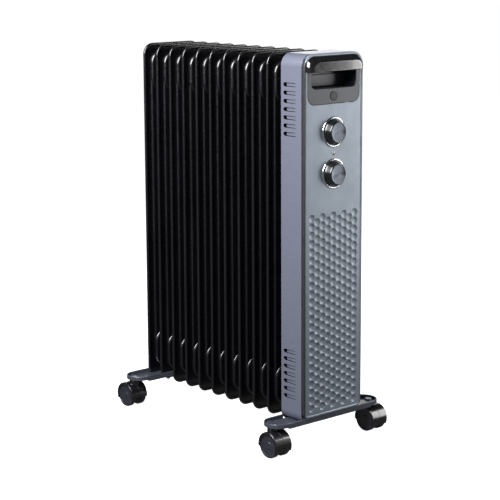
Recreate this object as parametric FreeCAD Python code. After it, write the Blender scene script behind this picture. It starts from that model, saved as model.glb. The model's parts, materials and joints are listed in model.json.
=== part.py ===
import FreeCAD, Part
import math
import os

# Oil filled radiator heater on four twin-wheel casters, in millimetres, +Z up.
# X is across the fins, -Y is the control side, +Y is the far end of the fin stack.
# While it is built, y = 0 is the field of the front panel. Every solid is then moved
# by Y_SHIFT, so that the origin is on the floor, at the middle of the footprint.

V = FreeCAD.Vector
X_DIR, Y_DIR, Z_DIR = V(1, 0, 0), V(0, 1, 0), V(0, 0, 1)
SIDES = (-1, 1)

# --- Driving dimensions: fins -------------------------------------------------
FIN_COUNT = 11
FIN_PITCH = 34.66
HUB_FACE_Y = 34.87        # front of the stack, half a pitch before the first fin
FIN_HALF_WIDTH = 59.6
FIN_HEIGHT = 574.2
FIN_SINK = 3.0           # of a fin in the rear bracket's slot
FIN_TOP_R = 19.0
FIN_BOTTOM_R = 15.5
SHEET = 0.7
HEM_THICKNESS = 5.0
HEM_WIDTH = 4.0
HEM_ROUND = 2.2
HEADER_INSET = 13.0
HEADER_HEIGHT = 66.0
HEADER_DEPTH = 14.0
HEADER_CORNER_R = 20.0
HEADER_ROUND = 4.0
CHANNEL_DEPTH = 9.0
CHANNEL_WIDTH = 22.0
CHANNEL_ROUND = 3.0
CHANNEL_COUNT = 3
COLLAR_R = 17.0
COLLAR_WALL = 2.0
HUB_CAP_LAP = 2.0
HUB_CAP_THICKNESS = 2.5

# --- Driving dimensions: control housing ----------------------------------------
CASE_SIDE_CLEARANCE = 0.4
CASE_TOP_CLEARANCE = 0.3
CASE_BOTTOM_R = 15.0
CASE_WALL = 1.0
CASE_FRONT_Y = 5.2
PANEL_THICKNESS = 2.4
PANEL_CLEARANCE = 0.4     # over the front bracket
PANEL_BOTTOM_R = 9.0
PANEL_RIM_WIDTH = 4.2
PANEL_RIM_HEIGHT = 0.8
PANEL_EDGE_ROUND = 1.2
SKIRT_WALL = 1.6
SKIRT_LAP = 2.2
HEX_ROW_PITCH = 13.0
HEX_NET = 2.6
HEX_DEPTH = 0.9
HEX_RISE = 14.7          # first row over the panel's bottom edge
HEX_SIDE_MARGIN = 15.5
HEX_CLEAR_OF_KNOB = 71.0
VENT_COUNT = 7
VENT_UPPER_DROP = 121.7  # lowest of the upper row, from the case's top
VENT_LOWER_RISE = 38.7   # lowest of the lower row, from the case's bottom
VENT_UPPER_PITCH = 12.5
VENT_LOWER_PITCH = 11.9
VENT_HEIGHT = 6.2
VENT_FRONT_Y = 18.0
VENT_LENGTH = 28.5
VENT_DEPTH = 3.6
VENT_MOUTH = 5.0
VENT_SKIN = 0.8

# --- Driving dimensions: handle ---------------------------------------------------
POCKET_SIDE_MARGIN = 7.0
POCKET_DROP = 5.7        # from the case's top
POCKET_HEIGHT = 71.0
POCKET_CORNER_R = 14.0
POCKET_GROOVE = 0.6
RECESS_SIDE_MARGIN = 8.0
RECESS_DROP = 9.5        # from the pocket's top
RECESS_HEIGHT = 37.5
RECESS_DEPTH = 25.0
RECESS_CORNER_R = 6.0
POCKET_WALL = 1.5
POCKET_EAR_X = 30.0
POCKET_EAR_Y = 11.5
POCKET_EAR_DROP = 8.0
POCKET_EAR_THICKNESS = 2.0
GRIP_SIDE_MARGIN = 3.5
GRIP_DROP = 2.5          # from the pocket's top
GRIP_HEIGHT = 19.0
GRIP_SLOPE = 5.0         # fall of its top, from back to front
GRIP_STAND_OFF = 9.5
GRIP_END_R = 9.0
GRIP_ROUND = 1.6
GRIP_SCREW_MARGIN = 4.6  # outside the recess
BADGE_R = 7.5
BADGE_RISE = 11.5        # over the pocket's bottom
BADGE_THICKNESS = 0.8

# --- Driving dimensions: controls -------------------------------------------------
THERMOSTAT_DROP = 43.5   # below the pocket
KNOB_SPACING = 64.0
LAMP_R = 3.5
KNOB_BASE_R = 20.3
KNOB_TAPER = 3.1
KNOB_LENGTH = 11.0
KNOB_WALL = 2.0
KNOB_HUB_R = 5.0
KNOB_GAP = 0.5
CAP_MARGIN = 1.8
CAP_SEAT = 0.8
CAP_THICKNESS = 1.0
RING_WIDTH = 2.7
RING_CLEARANCE = 0.6
RING_HEIGHT = 1.6
SHAFT_R = 3.0
SHAFT_RUNNING_FIT = 0.05
CONTROL_HALF_WIDTH = 17.0
CONTROL_HALF_HEIGHT = 14.0
CONTROL_DEPTH = 16.0
CONTROL_NECK_R = 11.0
CONTROL_NECK_LENGTH = 7.0

# --- Driving dimensions: inside the housing ---------------------------------------
SHIELD_Y = 41.0
SHIELD_THICKNESS = 1.2
SHIELD_GAP = 0.5
LUG_THICKNESS = 3.0
LUG_SIZE = 13.0
BOSS_R = 4.0
BOSS_INSET = 10.0
BOSS_CLEAR_OF_VENTS = 21.0
FLANGE_LAP = 4.0
FLANGE_THICKNESS = 3.0
ELEMENT_R = 3.2
ELEMENT_HALF_GAP = 7.0
ELEMENT_ROW_OFFSET = 5.1
ELEMENT_COLD_END = 6.0
TAB_HALF_WIDTH = 3.0
TAB_HALF_THICKNESS = 0.6
TAB_OVERLAP = 2.0
CUTOUT_R = 9.0
CUTOUT_HEIGHT = 4.5
CUTOUT_TAB_X = 13.0
CUTOUT_TAB_Y = 2.5
CUTOUT_TAB_HALF = 3.0
CUTOUT_TAB_THICKNESS = 0.8
TILT_SWITCH_X = 29.0
TILT_SWITCH_RISE = 55.3  # over the lower hub
TILT_SWITCH_HALF_WIDTH = 11.0
TILT_SWITCH_HALF_HEIGHT = 12.0
TILT_SWITCH_DEPTH = 14.0
TILT_TAB_SPREAD = 6.0
TILT_TAB_LENGTH = 6.0
TERMINAL_DROP = 80.0     # below the selector
TERMINAL_HALF_WIDTH = 20.0
TERMINAL_HALF_HEIGHT = 8.0
TERMINAL_DEPTH = 14.0
TERMINAL_POST_HALF_WIDTH = 6.0
TERMINAL_POST_HALF_HEIGHT = 5.0
TERMINAL_WELL_R = 2.2
TERMINAL_WELL_DEPTH = 3.0
LEAD_R = 1.3
LEAD_Y = 20.0
GLAND_Y = 32.0
GLAND_Z = 67.0
GLAND_R = 6.0
GLAND_FLANGE_R = 8.0
GLAND_BORE_R = 3.6
GLAND_LENGTH = 6.0

# --- Driving dimensions: feet ------------------------------------------------------
BRACKET_REACH = 53.0     # past the case's side
BRACKET_SHEET = 1.8
BRACKET_HEIGHT = 9.2
BRACKET_END_RISE = 2.5
BRACKET_STEP_INSET = 17.0
BRACKET_STEP_RUN = 4.0
BRACKET_CASE_GAP = 0.4   # between the front tray's wall and the case
WHEEL_R = 20.0
CASTER_INSET = 10.0
CASTER_TRAIL = 6.0
HOOD_HALF_WIDTH = 16.2
HOOD_GAP = 0.5
HOOD_CLEARANCE = 2.4
HOOD_WALL = 0.8
HOOD_LIP = 1.1
HOOD_LIP_R = 17.6
HOOD_END_FRONT = 9.0
HOOD_END_REAR = 3.0
WEB_HALF = 6.0
WHEEL_SIDE_GAP = 0.5
AXLE_R = 2.0
AXLE_RUNNING_FIT = 0.05
STEM_R = 4.0
STEM_RUNNING_FIT = 0.05
STEM_SHOULDER_R = 7.0
STEM_SHOULDER = 1.5
STEM_HEAD_R = 6.0
STEM_HEAD = 2.5
STEM_PLAY = 0.4
STEM_END_RISE = 4.0
U_BOLT_R = 2.5
WING_NUT_R = 5.5
WING_NUT_HEIGHT = 7.0
WING_REACH = 13.0
WING_TIP = 5.0
WING_RAKE = 2.0
WING_DROP = 4.0
WING_HALF_SHEET = 1.0

# --- Fasteners and fits --------------------------------------------------------------
GAP = 0.3                # between neighbours that don't touch
HOLE_CLEARANCE = 0.1     # radial, around a shank that is clamped
SCREW_R = 1.5
SCREW_HEAD_R = 3.0
SCREW_HEAD = 2.0
SCREW_BITE = 9.0
FOOT_SCREW_R = 2.0
FOOT_SCREW_HEAD_R = 4.0
FOOT_SCREW_INSET = 26.0  # from the case's side
NUT_R = 4.0
NUT_HEIGHT = 3.2
PLUG_R = 6.0
PLUG_LENGTH = 5.0

# --- Worked out from the above -------------------------------------------------------
HOOD_R = WHEEL_R + HOOD_GAP + HOOD_WALL
BRACKET_BOTTOM_Z = WHEEL_R + HOOD_R + HOOD_CLEARANCE
BRACKET_TOP_Z = BRACKET_BOTTOM_Z + BRACKET_HEIGHT
FIN_BOTTOM_Z = BRACKET_BOTTOM_Z - FIN_SINK
FIN_TOP_Z = FIN_BOTTOM_Z + FIN_HEIGHT
COLLAR_BORE_R = COLLAR_R - COLLAR_WALL
FLANGE_R = COLLAR_R + FLANGE_LAP
FIRST_FIN_Y = HUB_FACE_Y + FIN_PITCH / 2
LAST_FIN_Y = FIRST_FIN_Y + (FIN_COUNT - 1) * FIN_PITCH
HEADER_TOP_Z = FIN_TOP_Z - HEADER_INSET
HEADER_LOW_Z = FIN_BOTTOM_Z + HEADER_INSET
TOP_HUB_Z = HEADER_TOP_Z - HEADER_HEIGHT / 2
LOW_HUB_Z = HEADER_LOW_Z + HEADER_HEIGHT / 2

CASE_HALF_WIDTH = FIN_HALF_WIDTH + CASE_SIDE_CLEARANCE + CASE_WALL
CASE_TOP_Z = FIN_TOP_Z + CASE_TOP_CLEARANCE + CASE_WALL
CASE_TOP_R = FIN_TOP_R + CASE_SIDE_CLEARANCE
CASE_BOTTOM_Z = BRACKET_BOTTOM_Z + BRACKET_SHEET
CASE_REAR_Y = FIRST_FIN_Y
PANEL_BOTTOM_Z = BRACKET_TOP_Z + PANEL_CLEARANCE
VENT_LOWER_Z = CASE_BOTTOM_Z + VENT_LOWER_RISE
VENT_UPPER_Z = CASE_TOP_Z - VENT_UPPER_DROP
BOSS_X = CASE_HALF_WIDTH - BOSS_INSET
BOSS_LOW_Z = VENT_LOWER_Z + (VENT_COUNT - 1) * VENT_LOWER_PITCH + BOSS_CLEAR_OF_VENTS
BOSS_HIGH_Z = VENT_UPPER_Z - BOSS_CLEAR_OF_VENTS
BOSS_ZS = (BOSS_LOW_Z, (BOSS_LOW_Z + BOSS_HIGH_Z) / 2, BOSS_HIGH_Z)

POCKET_HALF_WIDTH = CASE_HALF_WIDTH - POCKET_SIDE_MARGIN
POCKET_TOP_Z = CASE_TOP_Z - POCKET_DROP
POCKET_BOTTOM_Z = POCKET_TOP_Z - POCKET_HEIGHT
RECESS_HALF_WIDTH = POCKET_HALF_WIDTH - RECESS_SIDE_MARGIN
RECESS_TOP_Z = POCKET_TOP_Z - RECESS_DROP
RECESS_BOTTOM_Z = RECESS_TOP_Z - RECESS_HEIGHT
GRIP_HALF_WIDTH = CASE_HALF_WIDTH - GRIP_SIDE_MARGIN
GRIP_TOP_Z = POCKET_TOP_Z - GRIP_DROP
GRIP_BOTTOM_Z = GRIP_TOP_Z - GRIP_HEIGHT
GRIP_FACE_TOP_Z = GRIP_TOP_Z - GRIP_SLOPE
GRIP_SCREW_X = RECESS_HALF_WIDTH + GRIP_SCREW_MARGIN
GRIP_SCREW_Z = (GRIP_BOTTOM_Z + GRIP_FACE_TOP_Z) / 2
BADGE_Z = POCKET_BOTTOM_Z + BADGE_RISE

THERMOSTAT_Z = POCKET_BOTTOM_Z - THERMOSTAT_DROP
SELECTOR_Z = THERMOSTAT_Z - KNOB_SPACING
LAMP_Z = (THERMOSTAT_Z + SELECTOR_Z) / 2
TERMINAL_Z = SELECTOR_Z - TERMINAL_DROP
TILT_SWITCH_Z = LOW_HUB_Z + TILT_SWITCH_RISE
KNOB_FACE_R = KNOB_BASE_R - KNOB_TAPER
CAP_R = KNOB_FACE_R - CAP_MARGIN
RING_INNER_R = KNOB_BASE_R + RING_CLEARANCE
RING_R = RING_INNER_R + RING_WIDTH
CAP_FACE_Y = -(KNOB_GAP + KNOB_LENGTH + CAP_THICKNESS - CAP_SEAT)
HEX_COLUMN_PITCH = HEX_ROW_PITCH * math.sqrt(3) / 2
HEX_FIRST_Z = PANEL_BOTTOM_Z + HEX_RISE
HEX_ROWS = int((SELECTOR_Z - HEX_CLEAR_OF_KNOB - HEX_FIRST_Z) / HEX_ROW_PITCH) + 1
HEX_COLUMNS = 2 * int((CASE_HALF_WIDTH - HEX_SIDE_MARGIN) / HEX_COLUMN_PITCH) + 1

BRACKET_HALF_LENGTH = CASE_HALF_WIDTH + BRACKET_REACH
BRACKET_WIDTH = FIN_PITCH + HEM_THICKNESS + 2 * (2 * GAP + BRACKET_SHEET)
FOOT_SCREW_X = CASE_HALF_WIDTH - FOOT_SCREW_INSET
CASTER_X = BRACKET_HALF_LENGTH - CASTER_INSET
BRACKET_STEP_X = CASTER_X - BRACKET_STEP_INSET
FRONT_BRACKET_Y = CASE_FRONT_Y - BRACKET_CASE_GAP - BRACKET_SHEET + BRACKET_WIDTH / 2
REAR_BRACKET_Y = LAST_FIN_Y - FIN_PITCH / 2
END_FLOOR_Z = BRACKET_BOTTOM_Z + BRACKET_END_RISE
SHOULDER_Z = END_FLOOR_Z - STEM_SHOULDER
BOSS_TOP_Z = SHOULDER_Z - STEM_PLAY
STEM_END_Z = WHEEL_R + STEM_END_RISE

FRONT_Y = min(CAP_FACE_Y, FRONT_BRACKET_Y - CASTER_TRAIL - HOOD_R, -GRIP_STAND_OFF)
REAR_Y = max(LAST_FIN_Y + HEADER_DEPTH / 2 + PLUG_LENGTH, REAR_BRACKET_Y + CASTER_TRAIL + HOOD_R)
Y_SHIFT = -(FRONT_Y + REAR_Y) / 2


# --- Shape helpers -------------------------------------------------------------------
def box(x0, x1, y0, y1, z0, z1):
    return Part.makeBox(x1 - x0, y1 - y0, z1 - z0, V(x0, y0, z0))


def rod(radius, start, end):
    run = V(*end) - V(*start)
    return Part.makeCylinder(radius, run.Length, V(*start), run)


def half_bend(radius, start, centre, axis):
    """Half a ring of round rod, from start, turned by half a turn about an axis."""
    start, centre = V(*start), V(*centre)
    face = Part.Face(Part.Wire(Part.makeCircle(radius, start, axis.cross(start - centre))))
    return face.revolve(centre, axis, 180)


def moved(shape, x=0.0, y=0.0, z=0.0):
    copy = shape.copy()
    copy.translate(V(x, y, z))
    return copy


def mirrored(shape):
    return shape.mirror(V(0, 0, 0), X_DIR)


def rounded_outline(half_width, low, high, low_r, high_r, y):
    """Closed wire in an XZ plane with round corners, low_r below and high_r above."""
    edges = []
    corners = ((half_width, low, low_r, -90), (half_width, high, high_r, 0),
               (-half_width, high, high_r, 90), (-half_width, low, low_r, 180))
    ends = []
    for x, z, r, start in corners:
        cx = x - math.copysign(r, x)
        cz = z - r if z == high else z + r
        at = [V(cx + r * math.cos(math.radians(start + turn)), y,
                cz + r * math.sin(math.radians(start + turn))) for turn in (0, 45, 90)]
        ends.append((at[0], at[2]))
        edges.append(Part.Arc(*at).toShape())
    for i, (_, leave) in enumerate(ends):
        arrive = ends[(i + 1) % len(ends)][0]
        if leave.distanceToPoint(arrive) > 1e-6:
            edges.append(Part.makeLine(leave, arrive))
    return Part.Wire(Part.__sortEdges__(edges))


def slab(half_width, low, high, low_r, high_r, y0, y1):
    """Rounded rectangle in XZ, from y0 to y1."""
    wire = rounded_outline(half_width, low, high, low_r, high_r, y0)
    return Part.Face(wire).extrude(V(0, y1 - y0, 0))


def face_edges(shape, y):
    """Edges that lie in the plane at this y."""
    return [e for e in shape.Edges
            if abs(e.BoundBox.YMin - y) < 1e-6 and abs(e.BoundBox.YMax - y) < 1e-6]


def rounded_slab(half_width, low, high, low_r, high_r, y0, y1, edge_r):
    body = slab(half_width, low, high, low_r, high_r, y0, y1)
    return body.makeFillet(edge_r, face_edges(body, y0) + face_edges(body, y1))


def prism(points, direction):
    """Solid from a closed list of points, extruded along a vector."""
    corners = [V(*p) for p in points]
    return Part.Face(Part.makePolygon(corners + corners[:1])).extrude(direction)


def turned(profile, z, x=0.0):
    """Solid turned about the Y axis through (x, z), from (radius, y) points."""
    corners = [V(x + r, y, z) for r, y in profile]
    face = Part.Face(Part.makePolygon(corners + corners[:1]))
    return face.revolve(V(x, 0, z), Y_DIR, 360)


def export(name, shapes):
    """Write one sub-part, moved so that the origin is under its middle."""
    solids = []
    for shape in shapes if isinstance(shapes, (list, tuple)) else [shapes]:
        solids += shape.Solids
    placed = [moved(s, y=Y_SHIFT) for s in solids]
    out = placed[0] if len(placed) == 1 else Part.makeCompound(placed)
    out.exportStep("parts/%s.step" % name)
    print("%-28s %2d solid(s) valid %s volume %.1f" % (
        name, len(placed), all(s.isValid() for s in placed), sum(s.Volume for s in placed)))


# --- Fins ------------------------------------------------------------------------------
def oil_space(inset):
    """Headers and channels of one fin about y = 0, shrunk all over by an inset."""
    half_width = FIN_HALF_WIDTH - HEADER_INSET - inset
    half_depth = HEADER_DEPTH / 2 - inset
    corner = HEADER_CORNER_R - inset
    parts = []
    for low, high in ((HEADER_LOW_Z, HEADER_LOW_Z + HEADER_HEIGHT),
                      (HEADER_TOP_Z - HEADER_HEIGHT, HEADER_TOP_Z)):
        parts.append(rounded_slab(half_width, low + inset, high - inset, corner, corner,
                                  -half_depth, half_depth, HEADER_ROUND - inset))
    channel_half = CHANNEL_WIDTH / 2 - inset
    span = FIN_HALF_WIDTH - HEADER_INSET - CHANNEL_WIDTH / 2
    for i in range(CHANNEL_COUNT):
        x = -span + 2 * span * i / (CHANNEL_COUNT - 1)
        channel = rounded_slab(channel_half, LOW_HUB_Z, TOP_HUB_Z, channel_half - 0.1,
                               channel_half - 0.1, -CHANNEL_DEPTH / 2 + inset,
                               CHANNEL_DEPTH / 2 - inset, CHANNEL_ROUND - inset)
        parts.append(moved(channel, x=x))
    return parts[0].multiFuse(parts[1:])


def hub_heights():
    return (LOW_HUB_Z, TOP_HUB_Z)


def fin(last):
    """Two pressed sheets, hemmed at the rim, with a hole in each header for a collar."""
    hem = rounded_slab(FIN_HALF_WIDTH, FIN_BOTTOM_Z, FIN_TOP_Z, FIN_BOTTOM_R, FIN_TOP_R,
                       -HEM_THICKNESS / 2, HEM_THICKNESS / 2, HEM_ROUND)
    for side in SIDES:
        field = slab(FIN_HALF_WIDTH - HEM_WIDTH, FIN_BOTTOM_Z + HEM_WIDTH, FIN_TOP_Z - HEM_WIDTH,
                     FIN_BOTTOM_R - HEM_WIDTH, FIN_TOP_R - HEM_WIDTH,
                     side * SHEET, side * HEM_THICKNESS)
        hem = hem.cut(field)
    body = hem.fuse(oil_space(0.0)).cut(oil_space(SHEET))
    rear = 0.0 if last else HEADER_DEPTH
    holes = [rod(COLLAR_BORE_R, (0, -HEADER_DEPTH, z), (0, rear, z)) for z in hub_heights()]
    return body.cut(Part.makeCompound(holes))


def fins():
    middle = fin(last=False)
    for i in range(FIN_COUNT):
        shape = fin(last=True) if i == FIN_COUNT - 1 else middle
        export("fin_%02d" % (i + 1), moved(shape, y=FIRST_FIN_Y + i * FIN_PITCH))


def fin_collars():
    """Short rings welded between the headers, which let the oil through from fin to fin."""
    rings = []
    for i in range(FIN_COUNT):
        end = FIRST_FIN_Y + i * FIN_PITCH - HEADER_DEPTH / 2
        start = end - (FIN_PITCH - HEADER_DEPTH) if i else HUB_FACE_Y
        for z in hub_heights():
            ring = rod(COLLAR_R, (0, start, z), (0, end, z))
            rings.append(ring.cut(rod(COLLAR_BORE_R, (0, start, z), (0, end, z))))
    export("fin_collars", rings)


def filler_plug():
    """Threaded plug that closes the oil filling hole on the last fin."""
    y = LAST_FIN_Y + HEADER_DEPTH / 2
    head = turned([(0, y), (PLUG_R + 2, y), (PLUG_R + 2, y + 1.2), (PLUG_R, y + 1.2),
                   (PLUG_R, y + PLUG_LENGTH - 0.6), (PLUG_R - 0.6, y + PLUG_LENGTH),
                   (0, y + PLUG_LENGTH)], TOP_HUB_Z)
    key = rod(2.5, (0, y + 2.0, TOP_HUB_Z), (0, y + PLUG_LENGTH + 1, TOP_HUB_Z))
    export("filler_plug", head.cut(key))


# --- Heating element ----------------------------------------------------------------------
def heating_element():
    """Flange on the first fin's lower collar, and two hairpin rods in the oil."""
    far_y = LAST_FIN_Y - HEADER_DEPTH
    front = HUB_FACE_Y - FLANGE_THICKNESS
    body = rod(FLANGE_R, (0, front, LOW_HUB_Z), (0, HUB_FACE_Y, LOW_HUB_Z))
    pieces = []
    for row in SIDES:
        z = LOW_HUB_Z + row * ELEMENT_ROW_OFFSET
        for side in SIDES:
            x = side * ELEMENT_HALF_GAP
            pieces.append(rod(ELEMENT_R, (x, front - ELEMENT_COLD_END, z), (x, far_y, z)))
            pieces.append(box(x - TAB_HALF_WIDTH, x + TAB_HALF_WIDTH, LEAD_Y - 1,
                              front - ELEMENT_COLD_END + TAB_OVERLAP,
                              z - TAB_HALF_THICKNESS, z + TAB_HALF_THICKNESS))
        pieces.append(half_bend(ELEMENT_R, (ELEMENT_HALF_GAP, far_y, z), (0, far_y, z), Z_DIR))
    export("heating_element", body.multiFuse(pieces))


def hub_cap():
    """Welded disc that closes the first fin's upper collar."""
    front = HUB_FACE_Y - HUB_CAP_THICKNESS
    export("hub_cap", rod(COLLAR_R + HUB_CAP_LAP, (0, front, TOP_HUB_Z), (0, HUB_FACE_Y, TOP_HUB_Z)))


# --- Control housing ------------------------------------------------------------------------
def case_slab(inset, y0, y1):
    return slab(CASE_HALF_WIDTH - inset, CASE_BOTTOM_Z + inset, CASE_TOP_Z - inset,
                CASE_BOTTOM_R - inset, CASE_TOP_R - inset, y0, y1)


def panel_slab(inset, y0, y1):
    return slab(CASE_HALF_WIDTH - inset, PANEL_BOTTOM_Z + inset, CASE_TOP_Z - inset,
                PANEL_BOTTOM_R - inset, CASE_TOP_R - inset, y0, y1)


def boss_places():
    return [(side * BOSS_X, z) for side in SIDES for z in BOSS_ZS]


def vent_centres():
    rows = ((VENT_LOWER_Z, VENT_LOWER_PITCH), (VENT_UPPER_Z, VENT_UPPER_PITCH))
    return [start + i * pitch for start, pitch in rows for i in range(VENT_COUNT)]


def vents():
    """Scoop louvres of the +X side: the pressed-in skins, and what is cut out of them."""
    skins, cuts = [], []
    rear = VENT_FRONT_Y + VENT_LENGTH
    out, face = CASE_HALF_WIDTH + 1, CASE_HALF_WIDTH
    deep = CASE_HALF_WIDTH - CASE_WALL - VENT_DEPTH
    half = VENT_HEIGHT / 2
    for z in vent_centres():
        wide = half + VENT_SKIN
        skins.append(prism([(face - CASE_WALL / 2, VENT_FRONT_Y - VENT_SKIN, z - wide),
                            (face - CASE_WALL / 2, rear + VENT_SKIN, z - wide),
                            (deep - VENT_SKIN, rear + VENT_SKIN, z - wide)], V(0, 0, 2 * wide)))
        wedge = prism([(face, VENT_FRONT_Y, z - half), (out, VENT_FRONT_Y, z - half),
                       (out, rear, z - half), (deep, rear, z - half)], V(0, 0, 2 * half))
        slot = box(deep - 2, out, VENT_FRONT_Y - 1, rear - half, z - half, z + half)
        slot = slot.fuse(rod(half, (deep - 2, rear - half, z), (out, rear - half, z)))
        mouth = box(deep - 2 * VENT_SKIN, face, rear - VENT_MOUTH, rear, z - half, z + half)
        cuts.append(wedge.fuse(mouth).common(slot))
    return Part.makeCompound(skins), Part.makeCompound(cuts)


def housing_shell():
    """Folded steel case, open at the front and towards the fins."""
    shell = case_slab(0.0, CASE_FRONT_Y, CASE_REAR_Y)
    inner = case_slab(CASE_WALL, CASE_FRONT_Y - 1, CASE_REAR_Y + 1)
    shell = shell.cut(inner)
    apron_top = PANEL_BOTTOM_Z + CASE_WALL
    apron = case_slab(CASE_WALL / 2, CASE_FRONT_Y, CASE_FRONT_Y + CASE_WALL)
    apron = apron.common(box(-100, 100, -10, 100, 0, apron_top))
    adds = [apron]
    for x, z in boss_places():
        edge = math.copysign(CASE_HALF_WIDTH - CASE_WALL / 2, x)
        near = math.copysign(BOSS_X - LUG_SIZE / 2, x)
        adds.append(box(min(edge, near), max(edge, near), SHIELD_Y - LUG_THICKNESS, SHIELD_Y,
                        z - LUG_SIZE / 2, z + LUG_SIZE / 2))
    skins, cuts = vents()
    shell = shell.multiFuse(adds + [skins, mirrored(skins)])
    fin_room = slab(FIN_HALF_WIDTH + CASE_SIDE_CLEARANCE, FIN_BOTTOM_Z - 1,
                    FIN_TOP_Z + CASE_TOP_CLEARANCE, FIN_BOTTOM_R, CASE_TOP_R - CASE_WALL,
                    FIRST_FIN_Y - HEM_THICKNESS / 2 - 0.5, CASE_REAR_Y + 5)
    gland_hole = rod(GLAND_R + HOLE_CLEARANCE, (CASE_HALF_WIDTH - 5, GLAND_Y, GLAND_Z),
                     (CASE_HALF_WIDTH + 5, GLAND_Y, GLAND_Z))
    holes = [rod(SCREW_R + HOLE_CLEARANCE, (x, SHIELD_Y - 20, z), (x, SHIELD_Y + 5, z))
             for x, z in boss_places()]
    holes += [rod(FOOT_SCREW_R + HOLE_CLEARANCE, (side * FOOT_SCREW_X, FRONT_BRACKET_Y, 0),
                  (side * FOOT_SCREW_X, FRONT_BRACKET_Y, CASE_BOTTOM_Z + 10)) for side in SIDES]
    shell = shell.cut(Part.makeCompound([cuts, mirrored(cuts)]))
    export("housing_shell", shell.cut(fin_room).cut(gland_hole).cut(Part.makeCompound(holes)))


def hexagon(x, z, across_flats, y0, y1):
    """Hexagonal prism that lies along Y, with two level sides and a corner at each side."""
    radius = across_flats / math.sqrt(3)
    points = [(x + radius * math.cos(math.radians(60 * i)), y0,
               z + radius * math.sin(math.radians(60 * i))) for i in range(6)]
    return prism(points, V(0, y1 - y0, 0))


def hex_centres():
    """Centres of the honeycomb: columns side by side, every other one half a row up."""
    centres = []
    for column in range(HEX_COLUMNS):
        x = (column - (HEX_COLUMNS - 1) / 2) * HEX_COLUMN_PITCH
        odd = column % 2
        for row in range(HEX_ROWS - odd):
            centres.append((x, HEX_FIRST_Z + (row + odd / 2) * HEX_ROW_PITCH))
    return centres


def front_panel():
    """Moulded front with a raised rim, a honeycomb field and a skirt inside the case."""
    plate = panel_slab(0.0, -PANEL_RIM_HEIGHT, PANEL_THICKNESS)
    plate = plate.makeFillet(PANEL_EDGE_ROUND, face_edges(plate, -PANEL_RIM_HEIGHT))
    plate = plate.cut(panel_slab(PANEL_RIM_WIDTH, -PANEL_RIM_HEIGHT - 1, 0))
    skirt_inset = CASE_WALL + GAP
    skirt = panel_slab(skirt_inset, PANEL_THICKNESS, CASE_FRONT_Y + SKIRT_LAP)
    skirt = skirt.cut(panel_slab(skirt_inset + SKIRT_WALL, 0, CASE_FRONT_Y + SKIRT_LAP + 1))
    bosses = [rod(BOSS_R, (x, PANEL_THICKNESS, z), (x, SHIELD_Y - LUG_THICKNESS, z))
              for x, z in boss_places()]
    bosses += [rod(BOSS_R, (x, PANEL_THICKNESS, z), (x, POCKET_EAR_Y, z)) for x, z in ear_places()]
    body = plate.multiFuse([skirt] + bosses)
    window = slab(POCKET_HALF_WIDTH + POCKET_GROOVE, POCKET_BOTTOM_Z - POCKET_GROOVE,
                  POCKET_TOP_Z + POCKET_GROOVE, POCKET_CORNER_R + POCKET_GROOVE,
                  POCKET_CORNER_R + POCKET_GROOVE, -10, PANEL_THICKNESS)
    cuts = [rod(SHAFT_R + 0.5, (0, -5, z), (0, PANEL_THICKNESS + 1, z))
            for z in (THERMOSTAT_Z, SELECTOR_Z)]
    cuts.append(rod(LAMP_R + HOLE_CLEARANCE, (0, -5, LAMP_Z), (0, PANEL_THICKNESS + 1, LAMP_Z)))
    cuts += [rod(SCREW_R + HOLE_CLEARANCE / 2, (x, SHIELD_Y - LUG_THICKNESS - SCREW_BITE, z),
                 (x, SHIELD_Y, z)) for x, z in boss_places()]
    cuts += [rod(SCREW_R + HOLE_CLEARANCE / 2, (x, PANEL_THICKNESS, z), (x, POCKET_EAR_Y + 1, z))
             for x, z in ear_places()]
    cuts += [hexagon(x, z, HEX_ROW_PITCH - HEX_NET, -1, HEX_DEPTH) for x, z in hex_centres()]
    cuts.append(box(-GRIP_HALF_WIDTH - GAP, GRIP_HALF_WIDTH + GAP, -PANEL_RIM_HEIGHT - 1, 0,
                    GRIP_BOTTOM_Z - GAP, GRIP_TOP_Z + GAP))
    export("front_panel", body.cut(window).cut(Part.makeCompound(cuts)))


# --- Handle -----------------------------------------------------------------------------------
def ear_places():
    return [(side * POCKET_EAR_X, POCKET_BOTTOM_Z - POCKET_EAR_DROP) for side in SIDES]


def handle_pocket():
    """Moulded pocket for the fingers, behind the grip bar, screwed to the panel's back."""
    face = slab(POCKET_HALF_WIDTH, POCKET_BOTTOM_Z, POCKET_TOP_Z, POCKET_CORNER_R,
                POCKET_CORNER_R, 0, PANEL_THICKNESS)
    bowl = slab(RECESS_HALF_WIDTH + POCKET_WALL, RECESS_BOTTOM_Z - POCKET_WALL,
                RECESS_TOP_Z + POCKET_WALL, RECESS_CORNER_R + POCKET_WALL,
                RECESS_CORNER_R + POCKET_WALL, 0, RECESS_DEPTH + POCKET_WALL)
    ears = []
    for x, z in ear_places():
        ears.append(box(x - BOSS_R, x + BOSS_R, POCKET_EAR_Y, POCKET_EAR_Y + POCKET_EAR_THICKNESS,
                        z - BOSS_R, RECESS_BOTTOM_Z - POCKET_WALL / 2))
    recess = slab(RECESS_HALF_WIDTH, RECESS_BOTTOM_Z, RECESS_TOP_Z, RECESS_CORNER_R,
                  RECESS_CORNER_R, -1, RECESS_DEPTH)
    behind_ear = POCKET_EAR_Y + POCKET_EAR_THICKNESS + 1
    holes = [rod(SCREW_R + HOLE_CLEARANCE, (x, POCKET_EAR_Y - 1, z), (x, behind_ear, z))
             for x, z in ear_places()]
    holes += [rod(SCREW_R + HOLE_CLEARANCE, (side * GRIP_SCREW_X, -1, GRIP_SCREW_Z),
                  (side * GRIP_SCREW_X, PANEL_THICKNESS + 1, GRIP_SCREW_Z)) for side in SIDES]
    body = face.multiFuse([bowl] + ears).cut(recess)
    export("handle_pocket", body.cut(Part.makeCompound(holes)))


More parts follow.
